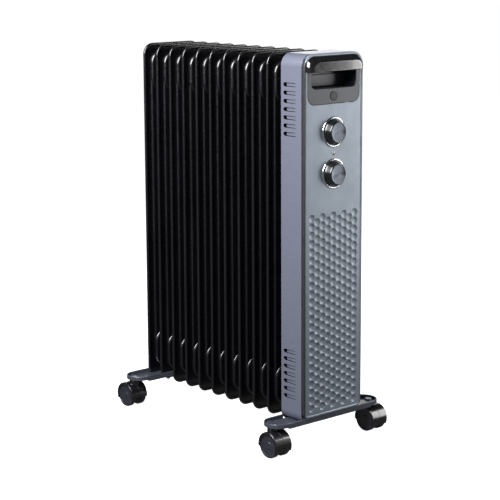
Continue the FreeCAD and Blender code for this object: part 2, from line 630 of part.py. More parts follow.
def grip_bar():
    """Solid bar across the pocket, with its ends curved back to the panel."""
    front = -GRIP_STAND_OFF
    section = prism([(-GRIP_HALF_WIDTH, 0, GRIP_BOTTOM_Z), (-GRIP_HALF_WIDTH, front, GRIP_BOTTOM_Z),
                     (-GRIP_HALF_WIDTH, front, GRIP_FACE_TOP_Z), (-GRIP_HALF_WIDTH, 0, GRIP_TOP_Z)],
                    V(2 * GRIP_HALF_WIDTH, 0, 0))
    front_edges = [e for e in face_edges(section, front) if e.BoundBox.XLength > GRIP_HALF_WIDTH]
    section = section.makeFillet(GRIP_ROUND, front_edges)
    corners = (V(-GRIP_HALF_WIDTH, 0, 0), V(GRIP_HALF_WIDTH, 0, 0))
    half_turn = math.sqrt(0.5)
    inner = GRIP_HALF_WIDTH - GRIP_END_R
    knee = front + GRIP_END_R
    arcs = []
    for side in SIDES:
        arcs.append(Part.Arc(V(side * GRIP_HALF_WIDTH, knee, 0),
                             V(side * (inner + GRIP_END_R * half_turn), knee - GRIP_END_R * half_turn, 0),
                             V(side * inner, front, 0)).toShape())
    edges = arcs + [Part.makeLine(*corners), Part.makeLine(V(-inner, front, 0), V(inner, front, 0)),
                    Part.makeLine(corners[0], V(-GRIP_HALF_WIDTH, knee, 0)),
                    Part.makeLine(corners[1], V(GRIP_HALF_WIDTH, knee, 0))]
    plan = Part.Face(Part.Wire(Part.__sortEdges__(edges)))
    plan.translate(V(0, 0, GRIP_BOTTOM_Z - 5))
    bar = section.common(plan.extrude(V(0, 0, 40)))
    holes = [rod(SCREW_R + HOLE_CLEARANCE / 2, (side * GRIP_SCREW_X, front + 3, GRIP_SCREW_Z),
                 (side * GRIP_SCREW_X, 1, GRIP_SCREW_Z)) for side in SIDES]
    export("grip_bar", bar.cut(Part.makeCompound(holes)))


def badge_disc():
    """Plain round disc on the pocket's lower face."""
    disc = rod(BADGE_R, (0, -BADGE_THICKNESS, BADGE_Z), (0, 0, BADGE_Z))
    export("badge_disc", disc.makeFillet(BADGE_THICKNESS / 2, face_edges(disc, -BADGE_THICKNESS)))


# --- Knobs, lamp and switches -------------------------------------------------------------------
def knob(name, z):
    """Hollow tapered knob on a shaft, with a spun cap set in its face."""
    base_y = -KNOB_GAP
    face_y = base_y - KNOB_LENGTH
    seat_y = face_y + CAP_SEAT
    body = turned([(0, base_y - 1.5), (0, seat_y), (CAP_R + 0.2, seat_y), (CAP_R + 0.2, face_y),
                   (KNOB_FACE_R - 0.8, face_y), (KNOB_FACE_R, face_y + 0.8), (KNOB_BASE_R, base_y - 2),
                   (KNOB_BASE_R, base_y), (KNOB_BASE_R - KNOB_WALL, base_y),
                   (KNOB_BASE_R - KNOB_WALL, base_y - 2), (KNOB_FACE_R - KNOB_WALL, seat_y + KNOB_WALL),
                   (KNOB_HUB_R, seat_y + KNOB_WALL), (KNOB_HUB_R, base_y - 1.5)], z)
    shaft_end = seat_y + KNOB_WALL
    body = body.cut(rod(SHAFT_R + 0.02, (0, shaft_end, z), (0, 5, z)))
    export(name + "_knob", body)
    cap_y = seat_y - CAP_THICKNESS
    cap = turned([(0, seat_y), (CAP_R, seat_y), (CAP_R, cap_y + 0.3), (CAP_R - 0.3, cap_y),
                  (CAP_R - 1.6, cap_y), (CAP_R - 1.9, cap_y + 0.2), (0, cap_y + 0.2)], z)
    export(name + "_knob_cap", cap)
    shaft_back = PANEL_THICKNESS + CONTROL_NECK_LENGTH + CONTROL_DEPTH - 4
    export(name + "_shaft", rod(SHAFT_R, (0, shaft_end, z), (0, shaft_back, z)))
    neck_y = PANEL_THICKNESS + CONTROL_NECK_LENGTH
    block = box(-CONTROL_HALF_WIDTH, CONTROL_HALF_WIDTH, neck_y, neck_y + CONTROL_DEPTH,
                z - CONTROL_HALF_HEIGHT, z + CONTROL_HALF_HEIGHT)
    block = block.fuse(rod(CONTROL_NECK_R, (0, PANEL_THICKNESS, z), (0, neck_y + 1, z)))
    bore = rod(SHAFT_R + SHAFT_RUNNING_FIT, (0, 0, z), (0, shaft_back + 1, z))
    export(name + "_body", block.cut(bore))


def knob_rings():
    rings = []
    for z in (THERMOSTAT_Z, SELECTOR_Z):
        rings.append(turned([(RING_INNER_R, 0), (RING_INNER_R, -RING_HEIGHT + 0.4),
                             (RING_INNER_R + 0.4, -RING_HEIGHT), (RING_R - 1.0, -RING_HEIGHT),
                             (RING_R, -0.6), (RING_R, 0)], z))
    export("knob_rings", rings)


def indicator():
    dome = turned([(0, PANEL_THICKNESS), (LAMP_R, PANEL_THICKNESS), (LAMP_R, -0.4),
                   (LAMP_R * 0.85, -1.1), (LAMP_R * 0.5, -1.6), (0, -1.8)], LAMP_Z)
    export("indicator_lens", dome)
    lamp = rod(LAMP_R + 1.2, (0, PANEL_THICKNESS, LAMP_Z), (0, PANEL_THICKNESS + 6, LAMP_Z))
    export("indicator_lamp", lamp)


# --- Other parts inside the housing ---------------------------------------------------------------
def heat_shield():
    """Steel sheet between the hot fins and the controls, clamped on the case's lugs."""
    inset = CASE_WALL + SHIELD_GAP + VENT_DEPTH + VENT_SKIN
    sheet = slab(CASE_HALF_WIDTH - inset, CASE_BOTTOM_Z + inset, CASE_TOP_Z - inset,
                 CASE_BOTTOM_R - CASE_WALL - SHIELD_GAP, CASE_TOP_R - inset,
                 SHIELD_Y, SHIELD_Y + SHIELD_THICKNESS)
    holes = [rod(COLLAR_R + GAP, (0, SHIELD_Y - 5, z), (0, SHIELD_Y + 5, z)) for z in hub_heights()]
    holes += [rod(SCREW_R + HOLE_CLEARANCE, (x, SHIELD_Y - 5, z), (x, SHIELD_Y + 5, z))
              for x, z in boss_places()]
    export("heat_shield", sheet.cut(Part.makeCompound(holes)))


def terminal_block():
    """Block that the leads meet in, on a post that stands on the shield."""
    front = LEAD_Y - TERMINAL_DEPTH / 2
    back = front + TERMINAL_DEPTH
    body = box(-TERMINAL_HALF_WIDTH, TERMINAL_HALF_WIDTH, front, back,
               TERMINAL_Z - TERMINAL_HALF_HEIGHT, TERMINAL_Z + TERMINAL_HALF_HEIGHT)
    post = box(-TERMINAL_POST_HALF_WIDTH, TERMINAL_POST_HALF_WIDTH, back, SHIELD_Y,
               TERMINAL_Z - TERMINAL_POST_HALF_HEIGHT, TERMINAL_Z + TERMINAL_POST_HALF_HEIGHT)
    wells = [rod(TERMINAL_WELL_R, (x, front - 1, TERMINAL_Z), (x, front + TERMINAL_WELL_DEPTH, TERMINAL_Z))
             for x in lead_places()]
    export("terminal_block", body.fuse(post).cut(Part.makeCompound(wells)))


def lead_places():
    return [(i - 1.5) * TERMINAL_HALF_WIDTH / 2 for i in range(4)]


def wire_leads():
    """Four leads up to the selector, and two down to the element's upper tabs."""
    top = SELECTOR_Z - CONTROL_HALF_HEIGHT
    high = TERMINAL_Z + TERMINAL_HALF_HEIGHT
    low = TERMINAL_Z - TERMINAL_HALF_HEIGHT
    tab_top = LOW_HUB_Z + ELEMENT_ROW_OFFSET + TAB_HALF_THICKNESS
    leads = [rod(LEAD_R, (x, LEAD_Y, high), (x, LEAD_Y, top)) for x in lead_places()]
    leads += [rod(LEAD_R, (side * ELEMENT_HALF_GAP, LEAD_Y + 2, tab_top),
                  (side * ELEMENT_HALF_GAP, LEAD_Y + 2, low)) for side in SIDES]
    export("wire_leads", leads)


def thermal_cutout():
    """Snap disc on the hub cap, with a terminal at each side."""
    back = HUB_FACE_Y - HUB_CAP_THICKNESS
    tab_y = back - CUTOUT_TAB_Y
    disc = rod(CUTOUT_R, (0, back - CUTOUT_HEIGHT, TOP_HUB_Z), (0, back, TOP_HUB_Z))
    reach = CUTOUT_TAB_X + CUTOUT_TAB_HALF
    strip = box(-reach, reach, tab_y, tab_y + CUTOUT_TAB_THICKNESS,
                TOP_HUB_Z - CUTOUT_TAB_HALF, TOP_HUB_Z + CUTOUT_TAB_HALF)
    export("thermal_cutout", disc.fuse(strip))


def tip_over_switch():
    """Weighted switch on the shield, which opens when the heater falls over."""
    top = TILT_SWITCH_Z + TILT_SWITCH_HALF_HEIGHT
    body = box(TILT_SWITCH_X - TILT_SWITCH_HALF_WIDTH, TILT_SWITCH_X + TILT_SWITCH_HALF_WIDTH,
               SHIELD_Y - TILT_SWITCH_DEPTH, SHIELD_Y, TILT_SWITCH_Z - TILT_SWITCH_HALF_HEIGHT, top)
    half = CUTOUT_TAB_THICKNESS / 2
    middle = SHIELD_Y - TILT_SWITCH_DEPTH / 2
    tabs = []
    for side in SIDES:
        x = TILT_SWITCH_X + side * TILT_TAB_SPREAD
        tabs.append(box(x - half, x + half, middle - TAB_HALF_WIDTH, middle + TAB_HALF_WIDTH,
                        top, top + TILT_TAB_LENGTH))
    export("tip_over_switch", body.multiFuse(tabs))


def cord_gland():
    """Moulded inlet for the supply cord, snapped into the case's side wall."""
    face = CASE_HALF_WIDTH
    outside = rod(GLAND_FLANGE_R, (face, GLAND_Y, GLAND_Z), (face + 2, GLAND_Y, GLAND_Z))
    nose = Part.makeCone(GLAND_R, GLAND_R - 1, GLAND_LENGTH, V(face, GLAND_Y, GLAND_Z), X_DIR)
    barrel = rod(GLAND_R, (face - CASE_WALL - 4, GLAND_Y, GLAND_Z), (face, GLAND_Y, GLAND_Z))
    bore = rod(GLAND_BORE_R, (face - 20, GLAND_Y, GLAND_Z), (face + 20, GLAND_Y, GLAND_Z))
    export("cord_gland", outside.multiFuse([nose, barrel]).cut(bore))


def case_screws():
    """Pan-head screws: six through shield and case, two in the pocket, two in the grip."""
    screws = []

    def screw(x, head_y, z, bite):
        head = rod(SCREW_HEAD_R, (x, head_y, z), (x, head_y + SCREW_HEAD, z))
        head = head.makeFillet(0.8, face_edges(head, head_y + SCREW_HEAD))
        slot = box(x - 0.4, x + 0.4, head_y + SCREW_HEAD - 0.7, head_y + 5, z - 1.8, z + 1.8)
        screws.append(head.cut(slot).fuse(rod(SCREW_R, (x, head_y - bite, z), (x, head_y + 0.5, z))))

    for x, z in boss_places():
        screw(x, SHIELD_Y + SHIELD_THICKNESS, z, SHIELD_THICKNESS + LUG_THICKNESS + SCREW_BITE - 1)
    for x, z in ear_places():
        ear_back = POCKET_EAR_Y + POCKET_EAR_THICKNESS
        screw(x, ear_back, z, ear_back - PANEL_THICKNESS - 1)
    for side in SIDES:
        screw(side * GRIP_SCREW_X, PANEL_THICKNESS, GRIP_SCREW_Z,
              PANEL_THICKNESS + GRIP_STAND_OFF - 4)
    export("case_screws", screws)


# --- Feet ---------------------------------------------------------------------------------------------
def stadium(half_length, half_width, y, z0, z1):
    """Upright prism with half-round ends along X."""
    straight = half_length - half_width
    body = box(-straight, straight, y - half_width, y + half_width, z0, z1)
    ends = [rod(half_width, (side * straight, y, z0), (side * straight, y, z1)) for side in SIDES]
    return body.multiFuse(ends).removeSplitter()


def bracket_body(y):
    """Pressed tray, open upwards, with its ends raised over the casters."""
    def over_floor(lift):
        low, high = BRACKET_BOTTOM_Z + lift, BRACKET_BOTTOM_Z + BRACKET_END_RISE + lift
        knee = BRACKET_STEP_X + BRACKET_STEP_RUN
        reach = BRACKET_HALF_LENGTH + 5
        top = BRACKET_TOP_Z + lift
        points = [(-reach, high), (-knee, high), (-BRACKET_STEP_X, low), (BRACKET_STEP_X, low),
                  (knee, high), (reach, high), (reach, top), (-reach, top)]
        return prism([(x, y - BRACKET_WIDTH, z) for x, z in points], V(0, 2 * BRACKET_WIDTH, 0))

    half = BRACKET_WIDTH / 2
    outside = stadium(BRACKET_HALF_LENGTH, half, y, BRACKET_BOTTOM_Z - 1, BRACKET_TOP_Z)
    inside = stadium(BRACKET_HALF_LENGTH - BRACKET_SHEET, half - BRACKET_SHEET, y,
                     BRACKET_BOTTOM_Z, BRACKET_TOP_Z + 5)
    tray = outside.common(over_floor(0.0)).cut(inside.common(over_floor(BRACKET_SHEET)))
    stem_holes = [rod(STEM_R + HOLE_CLEARANCE, (side * CASTER_X, y, 0), (side * CASTER_X, y, 80))
                  for side in SIDES]
    return tray.cut(Part.makeCompound(stem_holes))


def front_bracket():
    """The case stands on this tray's floor, behind its front wall."""
    y = FRONT_BRACKET_Y
    room = box(-CASE_HALF_WIDTH - 1.5, CASE_HALF_WIDTH + 1.5, y, y + BRACKET_WIDTH,
               BRACKET_BOTTOM_Z + BRACKET_SHEET, BRACKET_TOP_Z + 5)
    holes = [rod(FOOT_SCREW_R + HOLE_CLEARANCE, (side * FOOT_SCREW_X, y, 0),
                 (side * FOOT_SCREW_X, y, 80)) for side in SIDES]
    export("front_bracket", bracket_body(y).cut(room).cut(Part.makeCompound(holes)))


def fin_half_width_at(z):
    """Half-width of a fin's outline where its lower corner crosses this height."""
    rise = FIN_BOTTOM_Z + FIN_BOTTOM_R - z
    return FIN_HALF_WIDTH - FIN_BOTTOM_R + math.sqrt(FIN_BOTTOM_R ** 2 - rise ** 2)


def rear_bracket():
    """The last two fins stand in slots in this tray's floor, on their round corners."""
    y = REAR_BRACKET_Y
    reach = fin_half_width_at(BRACKET_BOTTOM_Z + BRACKET_SHEET) + HOLE_CLEARANCE
    wide = HEM_THICKNESS / 2 + GAP
    slots = [box(-reach, reach, slot_y - wide, slot_y + wide, 0, BRACKET_BOTTOM_Z + 5)
             for slot_y in (LAST_FIN_Y - FIN_PITCH, LAST_FIN_Y)]
    holes = [rod(U_BOLT_R + GAP, (side * u_bolt_x(), u_bolt_y(), 0), (side * u_bolt_x(), u_bolt_y(), 60))
             for side in SIDES]
    export("rear_bracket", bracket_body(y).cut(Part.makeCompound(slots + holes)))


def u_bolt_x():
    return COLLAR_R + HOLE_CLEARANCE + U_BOLT_R


def u_bolt_y():
    return REAR_BRACKET_Y


def u_bolt():
    """Bent rod over the collar between the last two fins, down through the tray."""
    bottom = BRACKET_BOTTOM_Z - WING_NUT_HEIGHT - 2
    hub = (0, u_bolt_y(), LOW_HUB_Z)
    bend = half_bend(U_BOLT_R, (u_bolt_x(), u_bolt_y(), LOW_HUB_Z), hub, -Y_DIR)
    legs = [rod(U_BOLT_R, (side * u_bolt_x(), u_bolt_y(), bottom),
                (side * u_bolt_x(), u_bolt_y(), LOW_HUB_Z)) for side in SIDES]
    export("u_bolt", bend.multiFuse(legs))
    nuts = []
    for side in SIDES:
        x = side * u_bolt_x()
        high, low = BRACKET_BOTTOM_Z, BRACKET_BOTTOM_Z - WING_NUT_HEIGHT
        nut = Part.makeCone(WING_NUT_R - 1, WING_NUT_R, WING_NUT_HEIGHT, V(x, u_bolt_y(), low))
        wing_y = u_bolt_y() - WING_HALF_SHEET
        inner = WING_REACH - WING_TIP
        wings = prism([(x - WING_REACH, wing_y, low - WING_DROP), (x - inner, wing_y, low - WING_DROP),
                       (x - inner / 2, wing_y, low + 1), (x + inner / 2, wing_y, low + 1),
                       (x + inner, wing_y, low - WING_DROP), (x + WING_REACH, wing_y, low - WING_DROP),
                       (x + WING_REACH - WING_RAKE, wing_y, low + WING_DROP),
                       (x - WING_REACH + WING_RAKE, wing_y, low + WING_DROP)],
                      V(0, 2 * WING_HALF_SHEET, 0))
        bore = rod(U_BOLT_R + HOLE_CLEARANCE / 2, (x, u_bolt_y(), 0), (x, u_bolt_y(), 80))
        nuts.append(nut.fuse(wings).cut(bore))
    export("wing_nuts", nuts)


def bracket_screws():
    """Two screws up through the front tray into the case floor, each with its nut."""
    parts = []
    for side in SIDES:
        x, y = side * FOOT_SCREW_X, FRONT_BRACKET_Y
        under, floor = BRACKET_BOTTOM_Z, CASE_BOTTOM_Z + CASE_WALL
        head = Part.makeCone(FOOT_SCREW_HEAD_R - 0.8, FOOT_SCREW_HEAD_R, 2.2, V(x, y, under - 2.2))
        parts.append(head.fuse(rod(FOOT_SCREW_R, (x, y, under - 1), (x, y, floor + NUT_HEIGHT + 1))))
        points = [(x + NUT_R * math.cos(math.radians(60 * i)),
                   y + NUT_R * math.sin(math.radians(60 * i)), floor) for i in range(6)]
        nut = prism(points, V(0, 0, NUT_HEIGHT))
        parts.append(nut.cut(rod(FOOT_SCREW_R + HOLE_CLEARANCE / 2, (x, y, floor - 1),
                                 (x, y, floor + NUT_HEIGHT + 1))))
    export("bracket_screws", parts)


# --- Casters ----------------------------------------------------------------------------------------------
def stem():
    """Caster stem at x = y = 0: pin, shoulder under the tray, and the head over it."""
    floor_top = END_FLOOR_Z + BRACKET_SHEET
    pieces = [rod(STEM_R, (0, 0, STEM_END_Z), (0, 0, floor_top + 1)),
              rod(STEM_SHOULDER_R, (0, 0, SHOULDER_Z), (0, 0, END_FLOOR_Z)),
              Part.makeCone(STEM_HEAD_R, STEM_HEAD_R - 1, STEM_HEAD, V(0, 0, floor_top))]
    return pieces[0].multiFuse(pieces[1:])


def hood():
    """Cover over both wheels, with the web that holds stem and axle; axle towards -Y."""
    y, z = -CASTER_TRAIL, WHEEL_R
    body = rod(HOOD_R, (-HOOD_HALF_WIDTH, y, z), (HOOD_HALF_WIDTH, y, z))
    boss = rod(STEM_R * 2, (0, 0, z + HOOD_R * 0.7), (0, 0, BOSS_TOP_Z))
    body = body.fuse(boss)
    cuts = []
    for side in SIDES:
        near, far = side * WEB_HALF, side * (HOOD_HALF_WIDTH - HOOD_LIP)
        cuts.append(rod(WHEEL_R + HOOD_GAP, (near, y, z), (far, y, z)))
        cuts.append(rod(HOOD_LIP_R, (near, y, z), (side * (HOOD_HALF_WIDTH + 1), y, z)))
    reach = HOOD_R + 2
    under = prism([(-50, y - reach, z - HOOD_END_FRONT), (-50, y + reach, z - HOOD_END_REAR),
                   (-50, y + reach, -10), (-50, y - reach, -10)], V(100, 0, 0))
    cuts.append(under)
    cuts.append(rod(AXLE_R + 0.02, (-WEB_HALF - 1, y, z), (WEB_HALF + 1, y, z)))
    cuts.append(rod(STEM_R + STEM_RUNNING_FIT, (0, 0, STEM_END_Z - 0.5), (0, 0, 80)))
    groove = rod(HOOD_R + 1, (-0.6, y, z), (0.6, y, z)).cut(rod(HOOD_R - 0.4, (-2, y, z), (2, y, z)))
    groove = groove.cut(rod(STEM_R * 2 + 1, (0, 0, 0), (0, 0, 80)))
    cuts.append(groove)
    for cut in cuts:
        body = body.cut(cut)
    return body


def wheel():
    """Wheel on the +X side of the web, with a blind bore from its inner face."""
    y, z = -CASTER_TRAIL, WHEEL_R
    near = WEB_HALF + WHEEL_SIDE_GAP
    far = HOOD_HALF_WIDTH - HOOD_LIP - 0.4
    profile = [(0, near), (WHEEL_R - 0.8, near), (WHEEL_R, near + 0.8), (WHEEL_R, far - 0.8),
               (WHEEL_R - 0.8, far), (WHEEL_R - 3.4, far), (WHEEL_R - 4.2, far - 0.9),
               (5.0, far - 0.5), (4.4, far), (0, far)]
    corners = [V(x, y, z + r) for r, x in profile]
    face = Part.Face(Part.makePolygon(corners + corners[:1]))
    solid = face.revolve(V(0, y, z), X_DIR, 360)
    bore = rod(AXLE_R + AXLE_RUNNING_FIT, (0, y, z), (far - 2, y, z))
    return solid.cut(bore)


def casters():
    half_axle = HOOD_HALF_WIDTH - HOOD_LIP - 3
    axle = rod(AXLE_R, (-half_axle, -CASTER_TRAIL, WHEEL_R), (half_axle, -CASTER_TRAIL, WHEEL_R))
    cover, roller = hood(), wheel()
    stems = []
    for end, y, turn in (("front", FRONT_BRACKET_Y, 0), ("rear", REAR_BRACKET_Y, 180)):
        for hand, side in (("left", -1), ("right", 1)):
            def placed(shape):
                copy = shape.copy()
                copy.rotate(V(0, 0, 0), Z_DIR, turn)
                copy.translate(V(side * CASTER_X, y, 0))
                return copy

            name = "%s_%s" % (end, hand)
            stems.append(placed(stem()))
            export("caster_hood_" + name, placed(cover))
            export("caster_axle_" + name, placed(axle))
            toward_plus_x, toward_minus_x = placed(roller), placed(mirrored(roller))
            if turn == 180:
                toward_plus_x, toward_minus_x = toward_minus_x, toward_plus_x
            outer, inner = (toward_plus_x, toward_minus_x) if side > 0 else (toward_minus_x, toward_plus_x)
            export("wheel_outer_" + name, outer)
            export("wheel_inner_" + name, inner)
    export("caster_stems", stems)


os.makedirs("parts", exist_ok=True)
fins()
fin_collars()
filler_plug()
heating_element()
hub_cap()
housing_shell()
front_panel()
handle_pocket()
grip_bar()
badge_disc()
knob("thermostat", THERMOSTAT_Z)
knob("selector", SELECTOR_Z)
knob_rings()
indicator()
heat_shield()
terminal_block()
wire_leads()
thermal_cutout()
tip_over_switch()
cord_gland()
case_screws()
front_bracket()
rear_bracket()
u_bolt()
bracket_screws()
casters()
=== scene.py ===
import json
import math

import bmesh
import bpy
from mathutils import Matrix, Vector


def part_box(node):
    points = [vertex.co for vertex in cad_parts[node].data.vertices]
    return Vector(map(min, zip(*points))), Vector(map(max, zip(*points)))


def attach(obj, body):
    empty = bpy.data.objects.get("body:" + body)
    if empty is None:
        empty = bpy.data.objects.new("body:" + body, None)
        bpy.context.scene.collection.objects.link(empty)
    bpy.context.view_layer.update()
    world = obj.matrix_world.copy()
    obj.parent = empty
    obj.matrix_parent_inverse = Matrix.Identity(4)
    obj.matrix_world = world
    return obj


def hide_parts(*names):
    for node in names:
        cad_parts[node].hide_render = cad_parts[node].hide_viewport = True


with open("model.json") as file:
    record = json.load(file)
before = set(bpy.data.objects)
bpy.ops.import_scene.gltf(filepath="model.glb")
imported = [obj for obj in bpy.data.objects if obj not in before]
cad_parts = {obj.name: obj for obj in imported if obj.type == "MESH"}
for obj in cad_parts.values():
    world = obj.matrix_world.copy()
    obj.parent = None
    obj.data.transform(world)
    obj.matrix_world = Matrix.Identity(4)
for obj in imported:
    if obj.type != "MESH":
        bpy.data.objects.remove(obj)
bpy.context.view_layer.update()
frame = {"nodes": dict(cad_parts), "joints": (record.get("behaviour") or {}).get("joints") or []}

# --- Fins -------------------------------------------------
# Eleven flat oil panels, each two sheets of steel pressed with headers and channels,
# seam-welded, hemmed all round and stove-enamelled gloss black. Rings welded between
# their headers join them, so that the oil runs through the whole stack.

MM = 0.001
JUST = 1e-6  # tells what lies in a plane from what lies beside it


def settle():
    """Back to object mode with nothing selected."""
    if bpy.context.object and bpy.context.object.mode != "OBJECT":
        bpy.ops.object.mode_set(mode="OBJECT")
    bpy.ops.object.select_all(action="DESELECT")


def take(piece):
    """Make one piece the only one selected."""
    settle()
    bpy.context.view_layer.objects.active = piece
    piece.select_set(True)
    return piece


def pick(kind, test):
    """In edit mode, select the corners, edges or faces that pass a test on their place."""
    bpy.ops.mesh.select_mode(type=kind)
    bpy.ops.mesh.select_all(action="DESELECT")
    mesh = bmesh.from_edit_mesh(bpy.context.object.data)
    items = {"VERT": mesh.verts, "EDGE": mesh.edges, "FACE": mesh.faces}[kind]
    for item in items:
        if kind == "VERT":
            item.select_set(bool(test(item.co)))
        elif kind == "EDGE":
            item.select_set(all(test(v.co) for v in item.verts))
        else:
            item.select_set(bool(test(item.calc_center_median(), item.normal)))
    mesh.select_flush_mode()
    bmesh.update_edit_mesh(bpy.context.object.data)


def settled(piece, name=None):
    """Leave edit mode with faces outwards and the place in the mesh."""
    bpy.ops.mesh.select_all(action="SELECT")
    bpy.ops.mesh.remove_doubles(threshold=2 * JUST)
    bpy.ops.mesh.normals_make_consistent(inside=False)
    bpy.ops.object.mode_set(mode="OBJECT")
    bpy.ops.object.transform_apply(location=True, rotation=True, scale=True)
    if name:
        piece.name = piece.data.name = name
    return piece


def plate(name, half_width, low, high, low_r, high_r, front, back, edge=0.0, steps=3, arc=8,
          ends=(1, 1)):
    """Slab in the plane of a fin, with round corners, and its front and back rims rounded."""
    settle()
    bpy.ops.mesh.primitive_plane_add(size=1, location=(0, front, (low + high) / 2),
                                     rotation=(math.radians(90), 0, 0))
    piece = bpy.context.object
    bpy.ops.transform.resize(value=(2 * half_width, 1, high - low))
    bpy.ops.object.transform_apply(location=True, rotation=True, scale=True)
    middle = (low + high) / 2
    bpy.ops.object.mode_set(mode="EDIT")
    pick("VERT", lambda p: p.z > middle)
    bpy.ops.mesh.bevel(offset=high_r, segments=arc, affect="VERTICES")
    pick("VERT", lambda p: p.z < low + JUST)
    bpy.ops.mesh.bevel(offset=low_r, segments=arc, affect="VERTICES")
    bpy.ops.mesh.select_all(action="SELECT")
    bpy.ops.mesh.extrude_region_move(TRANSFORM_OT_translate={"value": (0, back - front, 0)})
    bpy.ops.mesh.select_all(action="SELECT")
    bpy.ops.mesh.normals_make_consistent(inside=False)
    for place, wanted in ((front, ends[0]), (back, ends[1])):
        if edge and wanted:
            pick("EDGE", lambda p: abs(p.y - place) < JUST)
            bpy.ops.mesh.bevel(offset=edge, segments=steps, affect="EDGES")
    return settled(piece, name)


def rod(name, radius, start, end, edge=0.0, sides=48, steps=3):
    """Round bar between two points along one axis, with its two rims rounded."""
    settle()
    start, end = Vector(start), Vector(end)
    run = end - start
    bpy.ops.mesh.primitive_cylinder_add(vertices=sides, radius=radius, depth=run.length,
                                        location=(0, 0, run.length / 2))
    piece = bpy.context.object
    bpy.ops.object.transform_apply(location=True)
    if edge:
        bpy.ops.object.mode_set(mode="EDIT")
        pick("EDGE", lambda p: p.z < JUST)
        bpy.ops.mesh.bevel(offset=edge, segments=steps, affect="EDGES")
        pick("EDGE", lambda p: p.z > run.length - JUST)
        bpy.ops.mesh.bevel(offset=edge, segments=steps, affect="EDGES")
        bpy.ops.object.mode_set(mode="OBJECT")
    lean = run.to_track_quat("Z", "Y").to_matrix().to_4x4()
    piece.data.transform(Matrix.Translation(start) @ lean)
    piece.name = piece.data.name = name
    return piece


def turned(name, rings, place, sides=72, solid=True):
    """Piece turned about a line along Y: rings are (radius, y), from the panel outwards."""
    settle()
    first = rings[0]
    bpy.ops.mesh.primitive_circle_add(vertices=sides, radius=first[0],
                                      fill_type="NGON" if solid else "NOTHING")
    piece = bpy.context.object
    bpy.ops.object.mode_set(mode="EDIT")
    bpy.ops.mesh.select_all(action="SELECT")
    last = first
    for ring in rings[1:]:
        rise = {"value": (0, 0, last[1] - ring[1])}
        if solid:
            bpy.ops.mesh.extrude_region_move(TRANSFORM_OT_translate=rise)
        else:
            bpy.ops.mesh.extrude_edges_move(TRANSFORM_OT_translate=rise)
        scale = ring[0] / last[0]
        bpy.ops.transform.resize(value=(scale, scale, 1), center_override=(0, 0, 0))
        last = ring
    settled(piece, name)
    upright = Matrix.Rotation(math.radians(90), 4, "X")
    stand = Matrix.Translation((place[0], first[1] + place[1], place[2]))
    piece.data.transform(stand @ upright)
    return piece


def modified(piece, kind, **settings):
    """Add a modifier with its settings, and apply it."""
    take(piece)
    bpy.ops.object.modifier_add(type=kind)
    change = piece.modifiers[-1]
    for key, value in settings.items():
        setattr(change, key, value)
    bpy.ops.object.modifier_apply(modifier=change.name)
    return piece


def combine(piece, tool, operation):
    """Weld another solid on, or cut it out, and use the tool up."""
    modified(piece, "BOOLEAN", operation=operation, solver="EXACT", object=tool)
    bpy.data.objects.remove(tool)
    return piece


def copied(piece, move=(0, 0, 0), name=None, matrix=None):
    """Copy of a piece with a mesh of its own, moved in its mesh."""
    twin = piece.copy()
    twin.data = piece.data.copy()
    bpy.context.scene.collection.objects.link(twin)
    twin.data.transform(matrix or Matrix.Translation(Vector(move)))
    if matrix and matrix.determinant() < 0:
        twin.data.flip_normals()
    if name:
        twin.name = twin.data.name = name
    return twin


def joined(pieces):
    """Several pieces as one object."""
    take(pieces[0])
    for piece in pieces[1:]:
        piece.select_set(True)
    bpy.ops.object.join()
    return pieces[0]


def polish(piece, angle=32, flat_front=False):
    """Smooth shading that keeps flat faces flat and crisp edges crisp."""
    take(piece)
    bpy.ops.object.shade_smooth_by_angle(angle=math.radians(angle))
    if flat_front:
        for face in piece.data.polygons:
            if abs(face.normal.y) > 0.9999:
                face.use_smooth = False
    return modified(piece, "WEIGHTED_NORMAL", keep_sharp=True)


def dress(piece, material, body, slot, *nodes):
    """Finish, body and CAD nodes of a piece."""
    piece.data.materials.clear()
    piece.data.materials.append(material)
    if nodes:
        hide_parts(*nodes)
    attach(piece, body)


def linear(code):
    """sRGB hex colour as linear RGBA."""
    parts = [int(code[i:i + 2], 16) / 255 for i in (1, 3, 5)]
    return [p / 12.92 if p <= 0.04045 else ((p + 0.055) / 1.055) ** 2.4 for p in parts] + [1.0]


def add(material, kind, inputs=None, **settings):
    """One node, with its settings, and its inputs as values or as other nodes' outputs."""
    made = material.node_tree.nodes.new(kind)
    for key, value in settings.items():
        setattr(made, key, value)
    for socket, value in (inputs or {}).items():
        if isinstance(value, bpy.types.NodeSocket):
            material.node_tree.links.new(value, made.inputs[socket])
        else:
            made.inputs[socket].default_value = value
    return made


def finish(name, surface):
    """New material with a Principled shader whose plain numbers are given."""
    material = bpy.data.materials.new(name)
    material.use_nodes = True
    shader = material.node_tree.nodes["Principled BSDF"]
    for socket, value in surface.items():
        shader.inputs[socket].default_value = value
    return material, shader


def plug_in(material, shader, socket, output):
    material.node_tree.links.new(output, shader.inputs[socket])


def mottled(material, shader, dark, light, size, detail=3.0, low=0.35, high=0.65):
    """Colour that drifts between two shades over patches of a real size."""
    place = add(material, "ShaderNodeTexCoord")
    cloud = add(material, "ShaderNodeTexNoise",
                {"Vector": place.outputs["Object"], "Scale": 1 / size,
                                                 "Detail": detail, "Roughness": 0.55})
    ramp = add(material, "ShaderNodeValToRGB", {"Fac": cloud.outputs["Fac"]})
    ends = ramp.color_ramp.elements
    ends[0].position, ends[1].position = low, high
    ends[0].color, ends[1].color = linear(dark), linear(light)
    plug_in(material, shader, "Base Color", ramp.outputs["Color"])
    return place


